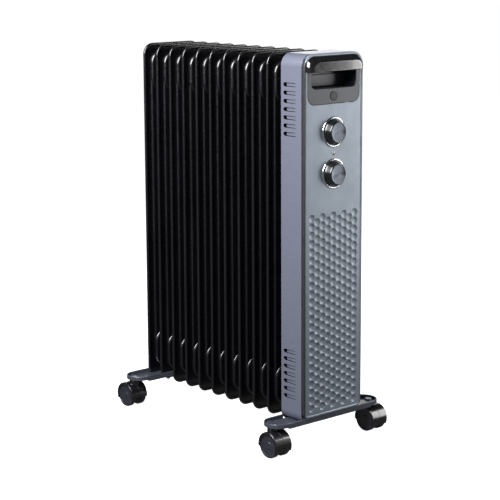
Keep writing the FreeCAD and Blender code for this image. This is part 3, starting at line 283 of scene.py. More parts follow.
def grained(material, shader, place, size, depth, strength=1.0, rough=None):
    """Fine relief of a real size and depth, and roughness that varies with it."""
    grain = add(material, "ShaderNodeTexNoise",
                {"Vector": place.outputs["Object"], "Scale": 1 / size,
                                                 "Detail": 2.0, "Roughness": 0.6})
    bump = add(material, "ShaderNodeBump", {"Height": grain.outputs["Fac"], "Distance": depth,
                                            "Strength": strength})
    plug_in(material, shader, "Normal", bump.outputs["Normal"])
    if rough:
        spread = add(material, "ShaderNodeMapRange",
                     {"Value": grain.outputs["Fac"], "From Min": 0.3,
                                                      "From Max": 0.7, "To Min": rough[0],
                                                      "To Max": rough[1]})
        plug_in(material, shader, "Roughness", spread.outputs["Result"])


def stoved_enamel():
    # Gloss black stoving enamel, dipped and baked: a deep wet shine with the faint
    # orange peel of thick paint, about 6 mm from crest to crest.
    material, shader = finish("stoved_enamel_black",
                              {"IOR": 1.5, "Coat Weight": 0.3, "Coat Roughness": 0.08})
    place = mottled(material, shader, "#040407", "#07070b", 60 * MM)
    grained(material, shader, place, 6 * MM, 0.006 * MM, 0.3, (0.26, 0.34))
    return material


fin_low, fin_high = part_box("fin_02")
fin_half, fin_bottom, fin_top = fin_high.x, fin_low.z, fin_high.z
first_fin_y = (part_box("fin_01")[0].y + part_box("fin_01")[1].y) / 2
fin_pitch = (fin_low.y + fin_high.y) / 2 - first_fin_y
fin_count = sum(name.startswith("fin_") and name[4:].isdigit() for name in frame["nodes"])
fin_low_r, fin_top_r = 15.5 * MM, 19 * MM
hem_thick, hem_wide, hem_round, web_thick = 5 * MM, 4 * MM, 2.2 * MM, 1.4 * MM
header_inset, header_tall, header_deep = 13 * MM, 66 * MM, 14 * MM
header_r, header_round = 20 * MM, 4.5 * MM
channel_wide, channel_deep, channel_round = 22 * MM, 9 * MM, 3.6 * MM
channel_r = channel_wide / 2 - 0.2 * MM
collar_r, collar_wall = 17 * MM, 2 * MM
weld_bead, weld_deep = 0.6 * MM, 1.6 * MM
low_hub_z = fin_bottom + header_inset + header_tall / 2
top_hub_z = fin_top - header_inset - header_tall / 2


def pressed_fin(name):
    fin = plate(name, fin_half, fin_bottom, fin_top, fin_low_r, fin_top_r,
                -hem_thick / 2, hem_thick / 2, edge=hem_round, steps=5, arc=12)
    sink = (hem_thick - web_thick) * 0.25
    bpy.ops.object.mode_set(mode="EDIT")
    for side in (-1, 1):
        pick("FACE", lambda c, n: n.y * side > 0.999)
        bpy.ops.mesh.inset(thickness=hem_wide - hem_round, depth=0)
        bpy.ops.mesh.inset(thickness=0.9 * MM, depth=-sink)
        bpy.ops.mesh.inset(thickness=0.5 * MM, depth=-sink)
    settled(fin)
    span = fin_half - header_inset
    for low in (fin_bottom + header_inset, fin_top - header_inset - header_tall):
        header = plate("header", span, low, low + header_tall, header_r, header_r,
                       -header_deep / 2, header_deep / 2, edge=header_round, steps=5, arc=10)
        combine(fin, header, "UNION")
    for offset in (-1, 0, 1):
        channel = plate("channel", channel_wide / 2, low_hub_z, top_hub_z, channel_r, channel_r,
                        -channel_deep / 2, channel_deep / 2, edge=channel_round, steps=4)
        channel.data.transform(Matrix.Translation((offset * (span - channel_wide / 2), 0, 0)))
        combine(fin, channel, "UNION")
    return fin


def collar_rings():
    """Rings between the headers, each with a weld bead at its ends."""
    collar_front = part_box("fin_collars")[0].y
    rings = []
    for index in range(fin_count):
        start = collar_front
        if index:
            start = first_fin_y + (index - 1) * fin_pitch + header_deep / 2
        end = first_fin_y + index * fin_pitch - header_deep / 2
        for z in (low_hub_z, top_hub_z):
            bead_r, bore_r = collar_r + weld_bead, collar_r - collar_wall
            outline = [(bore_r, start), (collar_r - 0.3 * MM, start), (collar_r, start + 0.3 * MM)]
            if index:
                outline = [(bore_r, start), (bead_r, start), (bead_r, start + weld_deep * 0.5),
                           (collar_r, start + weld_deep)]
            outline += [(collar_r, end - weld_deep), (bead_r, end - weld_deep * 0.5),
                        (bead_r, end), (bore_r, end), (bore_r, start)]
            outline = [(r, y - start) for r, y in outline]
            rings.append(turned("ring", outline, (0, start, z), 64, False))
    return joined(rings)


enamel = stoved_enamel()
middle_fin = polish(pressed_fin("enamelled_fin"))
for index in range(fin_count):
    shown = copied(middle_fin, (0, first_fin_y + index * fin_pitch, 0),
                   "enamelled_fin_%02d" % (index + 1))
    dress(shown, enamel, "radiator", "fin_paint", "fin_%02d" % (index + 1))
bpy.data.objects.remove(middle_fin)
collars = collar_rings()
collars.name = collars.data.name = "enamelled_collars"
dress(polish(collars, 40), enamel, "radiator", "fin_paint", "fin_collars")


# --- Filler plug, hub cap and heating element -------------
# Zinc-plated steel turnings and a mild steel tube element: the plug closes the oil
# filling hole, the cap and the element's flange close the first fin's two collars.

def zinc_plate():
    # Bright zinc plating on drawn steel: a pale grey metal with a soft, slightly
    # cloudy shine, whose crystal clouds are a couple of millimetres across.
    material, shader = finish("zinc_plated_steel", {"Metallic": 1.0})
    place = mottled(material, shader, "#8d9096", "#b4b7bc", 2.5 * MM)
    grained(material, shader, place, 0.8 * MM, 0.02 * MM, 0.4, (0.28, 0.42))
    return material


def keep(material, *nodes):
    """CAD nodes that keep their shape and take a finish."""
    for name in nodes:
        shown = frame["nodes"][name]
        shown.data.materials.clear()
        shown.data.materials.append(material)


def element_steel():
    # Drawn mild steel tube, left bare and blued by heat, with soft marks from the die.
    material, shader = finish("drawn_steel_tube", {"Metallic": 1.0})
    place = mottled(material, shader, "#5b5650", "#7d7872", 9 * MM)
    grained(material, shader, place, 1.2 * MM, 0.03 * MM, 0.5, (0.35, 0.5))
    return material


zinc = zinc_plate()
keep(zinc, "filler_plug", "case_screws", "bracket_screws", "u_bolt", "wing_nuts", "caster_stems",
     "heat_shield", "thermal_cutout", "thermostat_shaft", "selector_shaft")
keep(enamel, "hub_cap")
keep(element_steel(), "heating_element")


# --- Control housing shell --------------------------------
# One sheet of steel folded round into a case and sprayed in metallic grey lacquer,
# open to the fins behind and to the front moulding. Two rows of louvres are
# lanced into each side: a tongue is slit free above, below and behind, and bent inwards.

case_low, case_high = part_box("housing_shell")
case_half, case_bottom, case_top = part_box("front_panel")[1].x, case_low.z, case_high.z
case_front, case_rear = case_low.y, case_high.y
panel_field_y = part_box("grip_bar")[1].y
case_wall, case_low_r, case_top_r = 1 * MM, 15 * MM, 19.4 * MM
case_edge_y = case_front + 1.2 * MM
past = 5 * MM  # how far a cutting tool stands out past what it cuts


def case_plate(name, inset, front, back, edge=0.0, ends=(1, 1)):
    return plate(name, case_half - inset, case_bottom + inset, case_top - inset,
                 case_low_r - inset, case_top_r - inset, front, back, edge, 2, 14, ends)


vent_long, vent_tall = 28.5 * MM, 6.2 * MM
vent_front = panel_field_y + 18 * MM
vent_rear = vent_front + vent_long
vent_rows = 7
low_vent_z, top_vent_z = case_bottom + 38.7 * MM, case_top - 121.7 * MM
vent_places = [low_vent_z + i * 11.9 * MM for i in range(vent_rows)]
vent_places += [top_vent_z + i * 12.5 * MM for i in range(vent_rows)]
gland_hole_r, apron_tall = 6.1 * MM, 8.8 * MM


def louvre_slot():
    """Long hole with round ends, through the case's right side, at height 0."""
    end_r = vent_tall * 0.49
    slot = plate("slot", vent_long / 2, -vent_tall / 2, vent_tall / 2, end_r, end_r, 0, 1, arc=6)
    for corner in slot.data.vertices:
        outwards = 1 if corner.co.y > 0.5 else -1
        corner.co = (case_half + outwards * 4 * MM,
                     (vent_front + vent_rear) / 2 + corner.co.x, corner.co.z)
    slot.data.flip_normals()
    return slot


def louvre_tongue():
    """Strip left in the hole, bent inwards from its front end, with a slit above and below."""
    half = vent_tall / 2 - 0.9 * MM
    long = vent_long - 3 * MM
    tongue = plate("tongue", long / 2, -half, half, half * 0.98, half * 0.98, 0, 1, arc=6)
    for corner in tongue.data.vertices:
        along = corner.co.x + long / 2
        sunk = 0.25 * MM + along / long * 1.9 * MM + (0 if corner.co.y > 0.5 else 0.75 * MM)
        corner.co = (case_half - sunk, vent_front - 2 * MM + along, corner.co.z)
    tongue.data.flip_normals()
    return tongue


def housing_shell():
    shell = case_plate("lacquered_case", 0, case_edge_y, case_rear, 0.35 * MM)
    inside = case_plate("inside", case_wall, case_front - past, case_rear + past)
    combine(shell, inside, "DIFFERENCE")
    across = Matrix.Diagonal((-1, 1, 1, 1))
    for source, operation in ((louvre_slot(), "DIFFERENCE"), (louvre_tongue(), "UNION")):
        row = []
        for z in vent_places:
            right = copied(source, (0, 0, z))
            row += [right, copied(right, matrix=across)]
        combine(shell, joined(row), operation)
        bpy.data.objects.remove(source)
    step = plate("step", case_half + past, case_bottom - past, case_bottom + 3 * MM, 0.5 * MM,
                 0.5 * MM, case_rear - 5.7 * MM, case_rear + past)
    combine(shell, step, "DIFFERENCE")
    gland_low, gland_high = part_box("cord_gland")
    gland = (gland_low + gland_high) / 2
    hole = rod("gland_hole", gland_hole_r, (case_half - 6 * MM, gland.y, gland.z),
               (case_half + 6 * MM, gland.y, gland.z))
    combine(shell, hole, "DIFFERENCE")
    apron = case_plate("apron", case_wall, case_edge_y, case_edge_y + case_wall)
    lid = plate("lid", 2 * case_half, case_bottom + apron_tall, case_top + 20 * MM,
                1 * MM, 1 * MM, case_front - past, case_front + 9 * MM)
    combine(apron, lid, "DIFFERENCE")
    combine(shell, apron, "UNION")
    return polish(shell, 35)


def metallic_lacquer():
    # Two-coat metallic car-type lacquer on steel: aluminium flake under a clear coat
    # gives a cool grey that brightens where it faces the light. The flake is drawn at
    # 1.5 mm, coarser than the real 0.05 mm, so that it shows at all.
    material, shader = finish("metallic_grey_lacquer", {"Metallic": 0.55, "Coat Weight": 0.5,
                                                       "Coat Roughness": 0.12})
    place = mottled(material, shader, "#686b7a", "#717485", 1.5 * MM, 2.0, 0.3, 0.7)
    grained(material, shader, place, 3 * MM, 0.03 * MM, 0.3, (0.36, 0.44))
    return material


lacquer = metallic_lacquer()
dress(housing_shell(), lacquer, "radiator", "case_paint", "housing_shell")


# --- Inside the housing -----------------------------------
# Switch bodies, terminal block, thermal cut-out, tilt switch and silicone leads on a
# galvanised heat shield. They are moulded phenolic and nylon, and the case hides them.

def moulded_black():
    # Glass-filled nylon, moulded: matte black with a fine spark-eroded grain.
    # Also used as painted shade: the dark groove down each side of the front panel.
    material, shader = finish("moulded_nylon_black_and_groove_shade", {"IOR": 1.53})
    place = mottled(material, shader, "#141416", "#1c1c1f", 12 * MM)
    grained(material, shader, place, 0.9 * MM, 0.05 * MM, 0.6, (0.42, 0.55))
    return material


def moulded_white():
    # Steatite-filled nylon, moulded: warm white and slightly chalky.
    material, shader = finish("moulded_nylon_white", {"IOR": 1.53})
    place = mottled(material, shader, "#d9d7cf", "#e6e4dc", 10 * MM)
    grained(material, shader, place, 1 * MM, 0.04 * MM, 0.5, (0.45, 0.6))
    return material


def silicone_sleeve():
    # Braided glass sleeve soaked in silicone: cream, soft and slightly ribbed.
    material, shader = finish("silicone_sleeve", {"IOR": 1.41})
    place = mottled(material, shader, "#bfb49c", "#d2c8b2", 3 * MM)
    grained(material, shader, place, 0.6 * MM, 0.06 * MM, 0.8, (0.5, 0.65))
    return material


nylon = moulded_black()
keep(nylon, "thermostat_body", "selector_body", "tip_over_switch", "cord_gland")
keep(moulded_white(), "terminal_block", "indicator_lamp")
keep(silicone_sleeve(), "wire_leads")


# --- Front panel ------------------------------------------
# One satin grey ABS moulding: a proud rounded rim, a plain upper field for the knobs,
# and a honeycomb of shallow cells below. A skirt behind it fits inside the case. The
# dark line down each side is painted shade for the groove between panel and case: the
# panel's outer band and skirt sides take the black nylon finish.

panel_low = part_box("front_panel")[0]
panel_bottom, rim_front = panel_low.z, panel_low.y
panel_thick, rim_wide = 2.4 * MM, 4.2 * MM
panel_low_r, panel_back_y = 9 * MM, panel_field_y + panel_thick
skirt_inset, skirt_inner_inset, groove_inset = 1.3 * MM, 4.8 * MM, 3.4 * MM
window_gap, seat_gap = 0.6 * MM, 0.3 * MM
cell_rise, cell_web = 13 * MM, 1.3 * MM
cell_step = cell_rise * math.sqrt(3) / 2
first_cell_z = panel_bottom + 14.7 * MM
cell_rows = 24
cell_columns = 9
pocket_low, pocket_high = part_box("handle_pocket")
pocket_half, pocket_top = pocket_high.x, pocket_high.z
pocket_bottom = pocket_top - 71 * MM
grip_low, grip_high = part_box("grip_bar")


def panel_plate(name, inset, front, back, edge=0.0, ends=(1, 1), steps=4):
    return plate(name, case_half - inset, panel_bottom + inset, case_top - inset,
                 panel_low_r - inset, case_top_r - inset, front, back, edge, steps, 14, ends)


def cell_cutter():
    """Six-sided bowl that one honeycomb cell is pressed with."""
    settle()
    across = (cell_rise - cell_web) / math.sqrt(3)
    bpy.ops.mesh.primitive_circle_add(vertices=6, radius=across, fill_type="NGON",
                                      rotation=(math.radians(90), 0, 0),
                                      location=(0, panel_field_y - 0.5 * MM, 0))
    cutter = bpy.context.object
    bpy.ops.object.transform_apply(location=True, rotation=True, scale=True)
    bpy.ops.object.mode_set(mode="EDIT")
    bpy.ops.mesh.select_all(action="SELECT")
    bpy.ops.transform.rotate(value=math.radians(30), orient_axis="Y", center_override=(0, 0, 0))
    bowl = ((0.5, 1.0), (0.2, 0.96), (0.42, 0.9), (0.42, 0.82), (0.3, 0.68), (0.12, 0.45))
    for sink, shrink in bowl:
        bpy.ops.mesh.extrude_region_move(TRANSFORM_OT_translate={"value": (0, sink * MM, 0)})
        bpy.ops.transform.resize(value=(shrink, 1, shrink), center_override=(0, 0, 0))
    return settled(cutter, "cell")


def front_panel():
    panel = panel_plate("satin_front_panel", 0, rim_front, panel_back_y, 1.5 * MM, (1, 0))
    rim_step = (rim_front - panel_field_y) * 0.5
    bpy.ops.object.mode_set(mode="EDIT")
    pick("FACE", lambda c, n: n.y < -0.999)
    bpy.ops.mesh.inset(thickness=1.0 * MM, depth=0)
    bpy.ops.mesh.inset(thickness=rim_wide - 3.6 * MM, depth=0)
    bpy.ops.mesh.inset(thickness=0.5 * MM, depth=rim_step)
    bpy.ops.mesh.inset(thickness=0.6 * MM, depth=rim_step)
    settled(panel)
    cell, cells = cell_cutter(), []
    for column in range(cell_columns):
        odd = column % 2
        for row in range(cell_rows - odd):
            cells.append(copied(cell, ((column - (cell_columns - 1) / 2) * cell_step, 0,
                                       first_cell_z + (row + odd / 2) * cell_rise)))
    bpy.data.objects.remove(cell)
    combine(panel, joined(cells), "DIFFERENCE")
    behind = case_front + 9 * MM
    skirt = panel_plate("skirt", skirt_inset, panel_back_y - 0.5 * MM, case_front + 2 * MM)
    combine(skirt, panel_plate("inside", skirt_inner_inset, panel_field_y, behind), "DIFFERENCE")
    groove = panel_plate("groove", -2 * MM, panel_back_y - 0.2 * MM, case_front)
    combine(groove, panel_plate("floor", groove_inset, panel_field_y, behind), "DIFFERENCE")
    combine(skirt, groove, "DIFFERENCE")
    combine(panel, skirt, "UNION")
    window = plate("window", pocket_half + window_gap, pocket_bottom - window_gap,
                   pocket_top + window_gap, 14.6 * MM, 14.6 * MM, rim_front - past,
                   panel_back_y + past, arc=12)
    combine(panel, window, "DIFFERENCE")
    seat = plate("seat", grip_high.x + seat_gap, grip_low.z - seat_gap, case_top - 3.3 * MM,
                 0.2 * MM, 16 * MM, rim_front - past, panel_field_y, arc=12)
    combine(panel, seat, "DIFFERENCE")
    return polish(panel, 30, True)


def satin_abs():
    # Satin ABS with a fine moulded texture and a metallic tint in the plastic: a soft
    # grey sheen with no sharp reflections. The grain is drawn at 0.9 mm to show.
    material, shader = finish("satin_abs_grey", {"IOR": 1.53, "Metallic": 0.35})
    place = mottled(material, shader, "#6c757f", "#737c86", 25 * MM)
    grained(material, shader, place, 0.9 * MM, 0.03 * MM, 0.5, (0.36, 0.46))
    return material


satin = satin_abs()
panel = front_panel()
dress(panel, satin, "radiator", "panel_plastic", "front_panel")
# Painted shade: the panel's outer band and the sides of its skirt take the black nylon finish, so
# that the groove between panel and case shows as a dark line.
panel.data.materials.append(nylon)
for face in panel.data.polygons:
    centre, out = face.center, abs(face.center.x)
    groove_shade_band = out > case_half - 2.6 * MM and centre.z < case_top - 12 * MM
    groove_shade_skirt = out > case_half - 6 * MM and centre.y > panel_field_y + 1.2 * MM
    if groove_shade_band or groove_shade_skirt and face.normal.y > -0.9:
        face.material_index = 1


# --- Handle pocket ----------------------------------------
# A dark grey ABS bowl set in the panel's window, with room for four fingers behind
# the grip. Its mouth is rounded and a ledge runs along its back wall.

pocket_r = 14 * MM
recess_half, recess_top, recess_deep = pocket_half - 8 * MM, pocket_top - 9.5 * MM, 25 * MM
recess_bottom = recess_top - 37.5 * MM
bowl_wall, mouth_round, ledge_tall = 1.5 * MM, 1.8 * MM, 19 * MM
ear_x, ear_half = 30 * MM, 4 * MM


def handle_pocket():
    pocket = plate("dark_handle_pocket", pocket_half, pocket_bottom, pocket_top, pocket_r, pocket_r,
                   panel_field_y, panel_back_y, 0.5 * MM, 3, 12, (1, 0))
    bowl = plate("bowl", recess_half + bowl_wall, recess_bottom - bowl_wall,
                 recess_top + bowl_wall, 7.5 * MM, 7.5 * MM, panel_back_y - 1 * MM,
                 panel_field_y + recess_deep + bowl_wall, 1 * MM)
    combine(pocket, bowl, "UNION")
    hollow = plate("hollow", recess_half, recess_bottom, recess_top, 8 * MM, 6 * MM,
                   panel_field_y - 9 * MM, panel_field_y + recess_deep, 2 * MM, 4, 10, (0, 1))
    combine(pocket, hollow, "DIFFERENCE")
    bpy.ops.object.mode_set(mode="EDIT")
    pick("EDGE", lambda p: abs(p.y - panel_field_y) < JUST and abs(p.x) < recess_half + 0.1 * MM
         and recess_bottom - 0.1 * MM < p.z < recess_top + 0.1 * MM)
    bpy.ops.mesh.bevel(offset=mouth_round, segments=5, affect="EDGES")
    settled(pocket)
    wall_y = panel_field_y + recess_deep
    ledge = plate("ledge", recess_half - 1.5 * MM, recess_bottom + 1.5 * MM,
                  recess_bottom + ledge_tall, 5 * MM, 0.8 * MM, wall_y - 2.2 * MM,
                  wall_y + 0.5 * MM, 0.6 * MM, 3, 6, (1, 0))
    combine(pocket, ledge, "UNION")
    for side in (-1, 1):
        ear = plate("ear", ear_half, pocket_low.z, recess_bottom - 0.5 * MM, 2 * MM, 0.5 * MM,
                    panel_field_y + 11.5 * MM, panel_field_y + 13.5 * MM, arc=4)
        ear.data.transform(Matrix.Translation((side * ear_x, 0, 0)))
        combine(pocket, ear, "UNION")
    return polish(pocket, 35)


def dark_abs():
    # Satin ABS, moulded dark grey, with a fine even grain about 1.5 mm across.
    material, shader = finish("satin_abs_dark_grey", {"IOR": 1.53})
    place = mottled(material, shader, "#1c1f29", "#21242f", 30 * MM)
    grained(material, shader, place, 1.5 * MM, 0.03 * MM, 0.4, (0.42, 0.5))
    return material


dress(handle_pocket(), dark_abs(), "radiator", "pocket_plastic", "handle_pocket")


# --- Grip bar and badge disc ------------------------------
# The grip is a solid gloss black ABS bar screwed on from behind, with a sloping top
# and ends swept back to the panel. A plain dark disc sits in the field under it.

grip_rise, grip_fall, grip_end, grip_edge = case_top - 3.6 * MM, 8 * MM, 9 * MM, 1.6 * MM


def grip_bar():
    """Bar whose outline follows the panel's top corners, drawn in and down towards its face."""
    half, low, high = grip_high.x, grip_low.z, grip_rise
    front, back = grip_low.y, grip_high.y
    bar = plate("gloss_grip_bar", half, low, high, 1.5 * MM, 15.8 * MM, front, back, arc=12)
    bpy.ops.object.mode_set(mode="EDIT")
    for part in (0.2, 0.4, 0.56, 0.7, 0.82, 0.88, 0.93, 0.97, 0.99):
        bpy.ops.mesh.select_all(action="SELECT")
        bpy.ops.mesh.bisect(plane_co=(0, back + (front - back) * part, 0), plane_no=(0, 1, 0))
    bpy.ops.object.mode_set(mode="OBJECT")
    for corner in bar.data.vertices:
        part = min(1.0, (back - corner.co.y) / (back - front))
        drawn = grip_end * (1 - math.sqrt(1 - part * part))
        late = max(0.0, (part - 0.82) / 0.18)
        curl = grip_edge * (1 - math.sqrt(max(0.0, 1 - late * late)))
        tall = high - low
        corner.co.x *= 1 - drawn / half
        corner.co.z = low + curl + (corner.co.z - low) * (tall - grip_fall * part - 2 * curl) / tall
    return polish(bar, 40)


def gloss_black():
    # Black ABS from a polished mould: near-mirror shine, with a very faint waviness.
    material, shader = finish("gloss_abs_black",
                              {"IOR": 1.54, "Coat Weight": 0.5, "Coat Roughness": 0.05})
    place = mottled(material, shader, "#08080a", "#0d0d10", 20 * MM)
    grained(material, shader, place, 9 * MM, 0.03 * MM, 0.4, (0.14, 0.2))
    return material


def dark_disc():
    # Screen-printed dark grey on ABS, with a fine even grain.
    material, shader = finish("printed_disc_dark", {"IOR": 1.5})
    place = mottled(material, shader, "#0c0d10", "#14161a", 5 * MM)
    grained(material, shader, place, 1.5 * MM, 0.03 * MM, 0.4, (0.5, 0.6))
    return material


black = gloss_black()
dress(grip_bar(), black, "radiator", "grip_plastic", "grip_bar")
badge_low, badge_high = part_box("badge_disc")
badge_middle = (badge_low + badge_high) / 2
badge = rod("plain_badge_disc", (badge_high.x - badge_low.x) / 2,
            (0, panel_field_y, badge_middle.z),
            (0, badge_low.y, badge_middle.z), 0.35 * MM, 64)
take(badge)
bpy.ops.object.mode_set(mode="EDIT")
pick("FACE", lambda c, n: n.y < -0.999)
bpy.ops.mesh.inset(thickness=1.1 * MM, depth=0)
bpy.ops.mesh.inset(thickness=0.3 * MM, depth=-0.25 * MM)
settled(badge)
dress(polish(badge), dark_disc(), "radiator", "badge_plastic", "badge_disc")


# --- Knobs, their rings and the indicator -----------------
# Two gloss black phenolic knobs with spun aluminium caps pressed into their faces.
# Each stands in a chromed ring stuck to the panel, with a clear lamp lens between.

def phenolic():
    # Phenolic moulding, polished: deep black with a hard, bright shine.
    material, shader = finish("polished_phenolic_black", {"IOR": 1.6, "Coat Weight": 0.4,
                                                         "Coat Roughness": 0.06})
    place = mottled(material, shader, "#060607", "#0b0b0d", 8 * MM)
    grained(material, shader, place, 3 * MM, 0.02 * MM, 0.4, (0.16, 0.24))
    return material


def spun_aluminium(name, centre_z):
    # Dark anodised aluminium, spun: turning marks in rings about the middle throw the
    # light into two bright wedges. The rings are drawn 0.7 mm apart, so that they show.
    material, shader = finish(name, {"Metallic": 1.0, "Anisotropic": 0.9})
    place = add(material, "ShaderNodeTexCoord")
    centred = add(material, "ShaderNodeMapping", {"Vector": place.outputs["Object"],
                                                  "Location": (0, 0, -centre_z)},
                                                  vector_type="POINT")
    flat = add(material, "ShaderNodeVectorMath", {0: centred.outputs["Vector"], 1: (1, 0, 1)},
               operation="MULTIPLY")
    radius = add(material, "ShaderNodeVectorMath", {0: flat.outputs["Vector"]}, operation="LENGTH")
    marks = add(material, "ShaderNodeTexNoise",
                {"W": radius.outputs["Value"], "Scale": 1 / (0.7 * MM), "Detail": 3.0},
                noise_dimensions="1D")
    ramp = add(material, "ShaderNodeValToRGB", {"Fac": marks.outputs["Fac"]})
    ends = ramp.color_ramp.elements
    ends[0].position, ends[1].position = 0.3, 0.7
    ends[0].color, ends[1].color = linear("#34383e"), linear("#5a5f66")
    plug_in(material, shader, "Base Color", ramp.outputs["Color"])
    bump = add(material, "ShaderNodeBump", {"Height": marks.outputs["Fac"], "Distance": 0.006 * MM,
                                            "Strength": 0.4})
    plug_in(material, shader, "Normal", bump.outputs["Normal"])
    spread = add(material, "ShaderNodeMapRange", {"Value": marks.outputs["Fac"], "From Min": 0.3,
                                                  "From Max": 0.7, "To Min": 0.24, "To Max": 0.32})
    plug_in(material, shader, "Roughness", spread.outputs["Result"])
    around = add(material, "ShaderNodeVectorMath", {0: centred.outputs["Vector"], 1: (0, 1, 0)},
                 operation="CROSS_PRODUCT")
    unit = add(material, "ShaderNodeVectorMath", {0: around.outputs["Vector"]},
               operation="NORMALIZE")
    plug_in(material, shader, "Tangent", unit.outputs["Vector"])
    return material


def chrome():
    # Chromium over nickel on ABS: a mirror with a slight blue, and faint haze.
    material, shader = finish("bright_chrome", {"Metallic": 1.0})
    place = mottled(material, shader, "#d5d8dc", "#e2e5e8", 6 * MM)
    grained(material, shader, place, 4 * MM, 0.01 * MM, 0.3, (0.07, 0.13))
    return material


knob_material = phenolic()
for name in ("thermostat", "selector"):
    low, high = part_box(name + "_knob")
    middle = (low + high) / 2
    base_r, long = (high.x - low.x) / 2, high.y - low.y
    face_r, cap_r = 17.2 * MM, 15.4 * MM
    knob = turned("gloss_%s_knob" % name, [
        (base_r - 1.6 * MM, -0.0), (base_r - 0.4 * MM, -0.0), (base_r, -0.35 * MM),
        (base_r, -1.3 * MM),
        (base_r - 0.5 * MM, -1.9 * MM), (base_r - 1.1 * MM, -2.6 * MM),
        (face_r + 0.25 * MM, -long + 1.4 * MM),
        (face_r, -long + 0.8 * MM), (face_r - 0.25 * MM, -long + 0.3 * MM),
        (face_r - 0.7 * MM, -long),
        (cap_r + 0.35 * MM, -long), (cap_r + 0.15 * MM, -long + 0.2 * MM),
        (cap_r + 0.1 * MM, -long + 0.8 * MM)],
        (0, high.y, middle.z), 96)
    dress(polish(knob, 40), knob_material, name + "_control", "knob_plastic", name + "_knob")
    cap_low, cap_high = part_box(name + "_knob_cap")
    thick = cap_high.y - cap_low.y
    cap = turned("spun_%s_cap" % name, [
        (cap_r, 0.0), (cap_r, -thick + 0.35 * MM), (cap_r - 0.12 * MM, -thick + 0.12 * MM),
        (cap_r - 0.35 * MM, -thick), (cap_r - 1.2 * MM, -thick),
        (cap_r - 1.5 * MM, -thick + 0.12 * MM),
        (cap_r - 1.9 * MM, -thick + 0.2 * MM), (9 * MM, -thick + 0.3 * MM),
        (4 * MM, -thick + 0.35 * MM)],
        (0, cap_high.y, middle.z), 96)
    dress(polish(cap, 40), spun_aluminium("spun_aluminium_" + name, middle.z), name + "_control",
          "spun_cap", name + "_knob_cap")

ring_r, ring_inner, ring_tall = 23.6 * MM, 20.9 * MM, 1.6 * MM
rings = []
for name in ("thermostat", "selector"):
    low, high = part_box(name + "_knob")
    section = [(ring_inner, 0.0), (ring_inner, -ring_tall * 0.6),
               (ring_inner + 0.3 * MM, -ring_tall * 0.9),
               (ring_inner + 0.8 * MM, -ring_tall), (ring_r - 1.1 * MM, -ring_tall * 0.92),
               (ring_r - 0.4 * MM, -ring_tall * 0.6), (ring_r, -ring_tall * 0.2), (ring_r, 0.0),
               (ring_inner, 0.0)]
    rings.append(turned("ring", section, (0, panel_field_y, (low.z + high.z) / 2), 96, solid=False))
chrome_rings = joined(rings)
chrome_rings.name = chrome_rings.data.name = "chrome_knob_rings"
bright = chrome()
dress(polish(chrome_rings, 50), bright, "radiator", "bright_chrome", "knob_rings")


def lamp_lens():
    # Clear polycarbonate dome over a neon: glassy, with a warm tint from the lamp.
    material, shader = finish("clear_lens_warm", {"IOR": 1.58, "Transmission Weight": 0.55})
    place = mottled(material, shader, "#b9b6b4", "#cfccca", 2 * MM)
    grained(material, shader, place, 1 * MM, 0.01 * MM, 0.3, (0.08, 0.14))
    return material


lens_low, lens_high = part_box("indicator_lens")
lens_middle = (lens_low + lens_high) / 2
lens_r, lens_long = (lens_high.x - lens_low.x) / 2, lens_high.y - lens_low.y
lens = turned("clear_indicator_lens", [(lens_r, 0.0), (lens_r, -lens_long + 1.5 * MM)] + [
    (lens_r * math.cos(math.radians(a)),
     -lens_long + 1.5 * MM - 1.5 * MM * math.sin(math.radians(a)))
    for a in (15, 30, 45, 60, 75, 86)], (0, lens_high.y, lens_middle.z), 48)
dress(polish(lens, 40), lamp_lens(), "radiator", "lamp_lens", "indicator_lens")


# --- Foot brackets ----------------------------------------
# Two trays pressed from 1.8 mm steel and sprayed dark metallic grey. Their ends are
# round and step up over the casters. The front one carries the case, and the last
# two fins stand in slots in the rear one.

tray_sheet, tray_rise, tray_step, tray_edge = 1.8 * MM, 2.5 * MM, 87 * MM, 0.7 * MM
step_long, fin_slot_long = 4 * MM, 111.4 * MM
tray_bends = (tray_step, tray_step + step_long, 62.5 * MM)


def tray(node, name):
    low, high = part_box(node)
    middle, half = (low + high) / 2, (high.y - low.y) / 2
    settle()
    bpy.ops.mesh.primitive_plane_add(size=1, location=(0, middle.y, low.z))
    piece = bpy.context.object
    bpy.ops.transform.resize(value=(high.x - low.x, high.y - low.y, 1))
    bpy.ops.object.transform_apply(location=True, rotation=True, scale=True)
    bpy.ops.object.mode_set(mode="EDIT")
    pick("VERT", lambda p: True)
    bpy.ops.mesh.bevel(offset=half * 0.995, segments=16, affect="VERTICES")
    for x in tray_bends:
        for side in (-1, 1):
            bpy.ops.mesh.select_all(action="SELECT")
            bpy.ops.mesh.bisect(plane_co=(side * x, 0, 0), plane_no=(1, 0, 0))
    settled(piece, name)
    bpy.ops.object.mode_set(mode="EDIT")
    bpy.ops.mesh.select_mode(type="EDGE")
    bpy.ops.mesh.select_all(action="SELECT")
    bpy.ops.mesh.region_to_loop()
    bpy.ops.mesh.extrude_edges_move(TRANSFORM_OT_translate={"value": (0, 0, high.z - low.z)})
    settled(piece)
    bpy.ops.object.mode_set(mode="EDIT")
    pick("VERT", lambda p: p.z < low.z + JUST and abs(p.x) > tray_step + 3.9 * MM)
    bpy.ops.transform.translate(value=(0, 0, tray_rise))
    if node == "front_bracket":
        pick("FACE", lambda c, n: c.z > low.z + 1 * MM and abs(c.x) < 62 * MM
             and c.y > middle.y + half * 0.9)
        bpy.ops.mesh.delete(type="FACE")
    settled(piece)
    modified(piece, "SOLIDIFY", thickness=tray_sheet, offset=-1, use_even_offset=True)
    return modified(piece, "BEVEL", width=tray_edge, segments=3, limit_method="ANGLE",
                    angle_limit=math.radians(50))


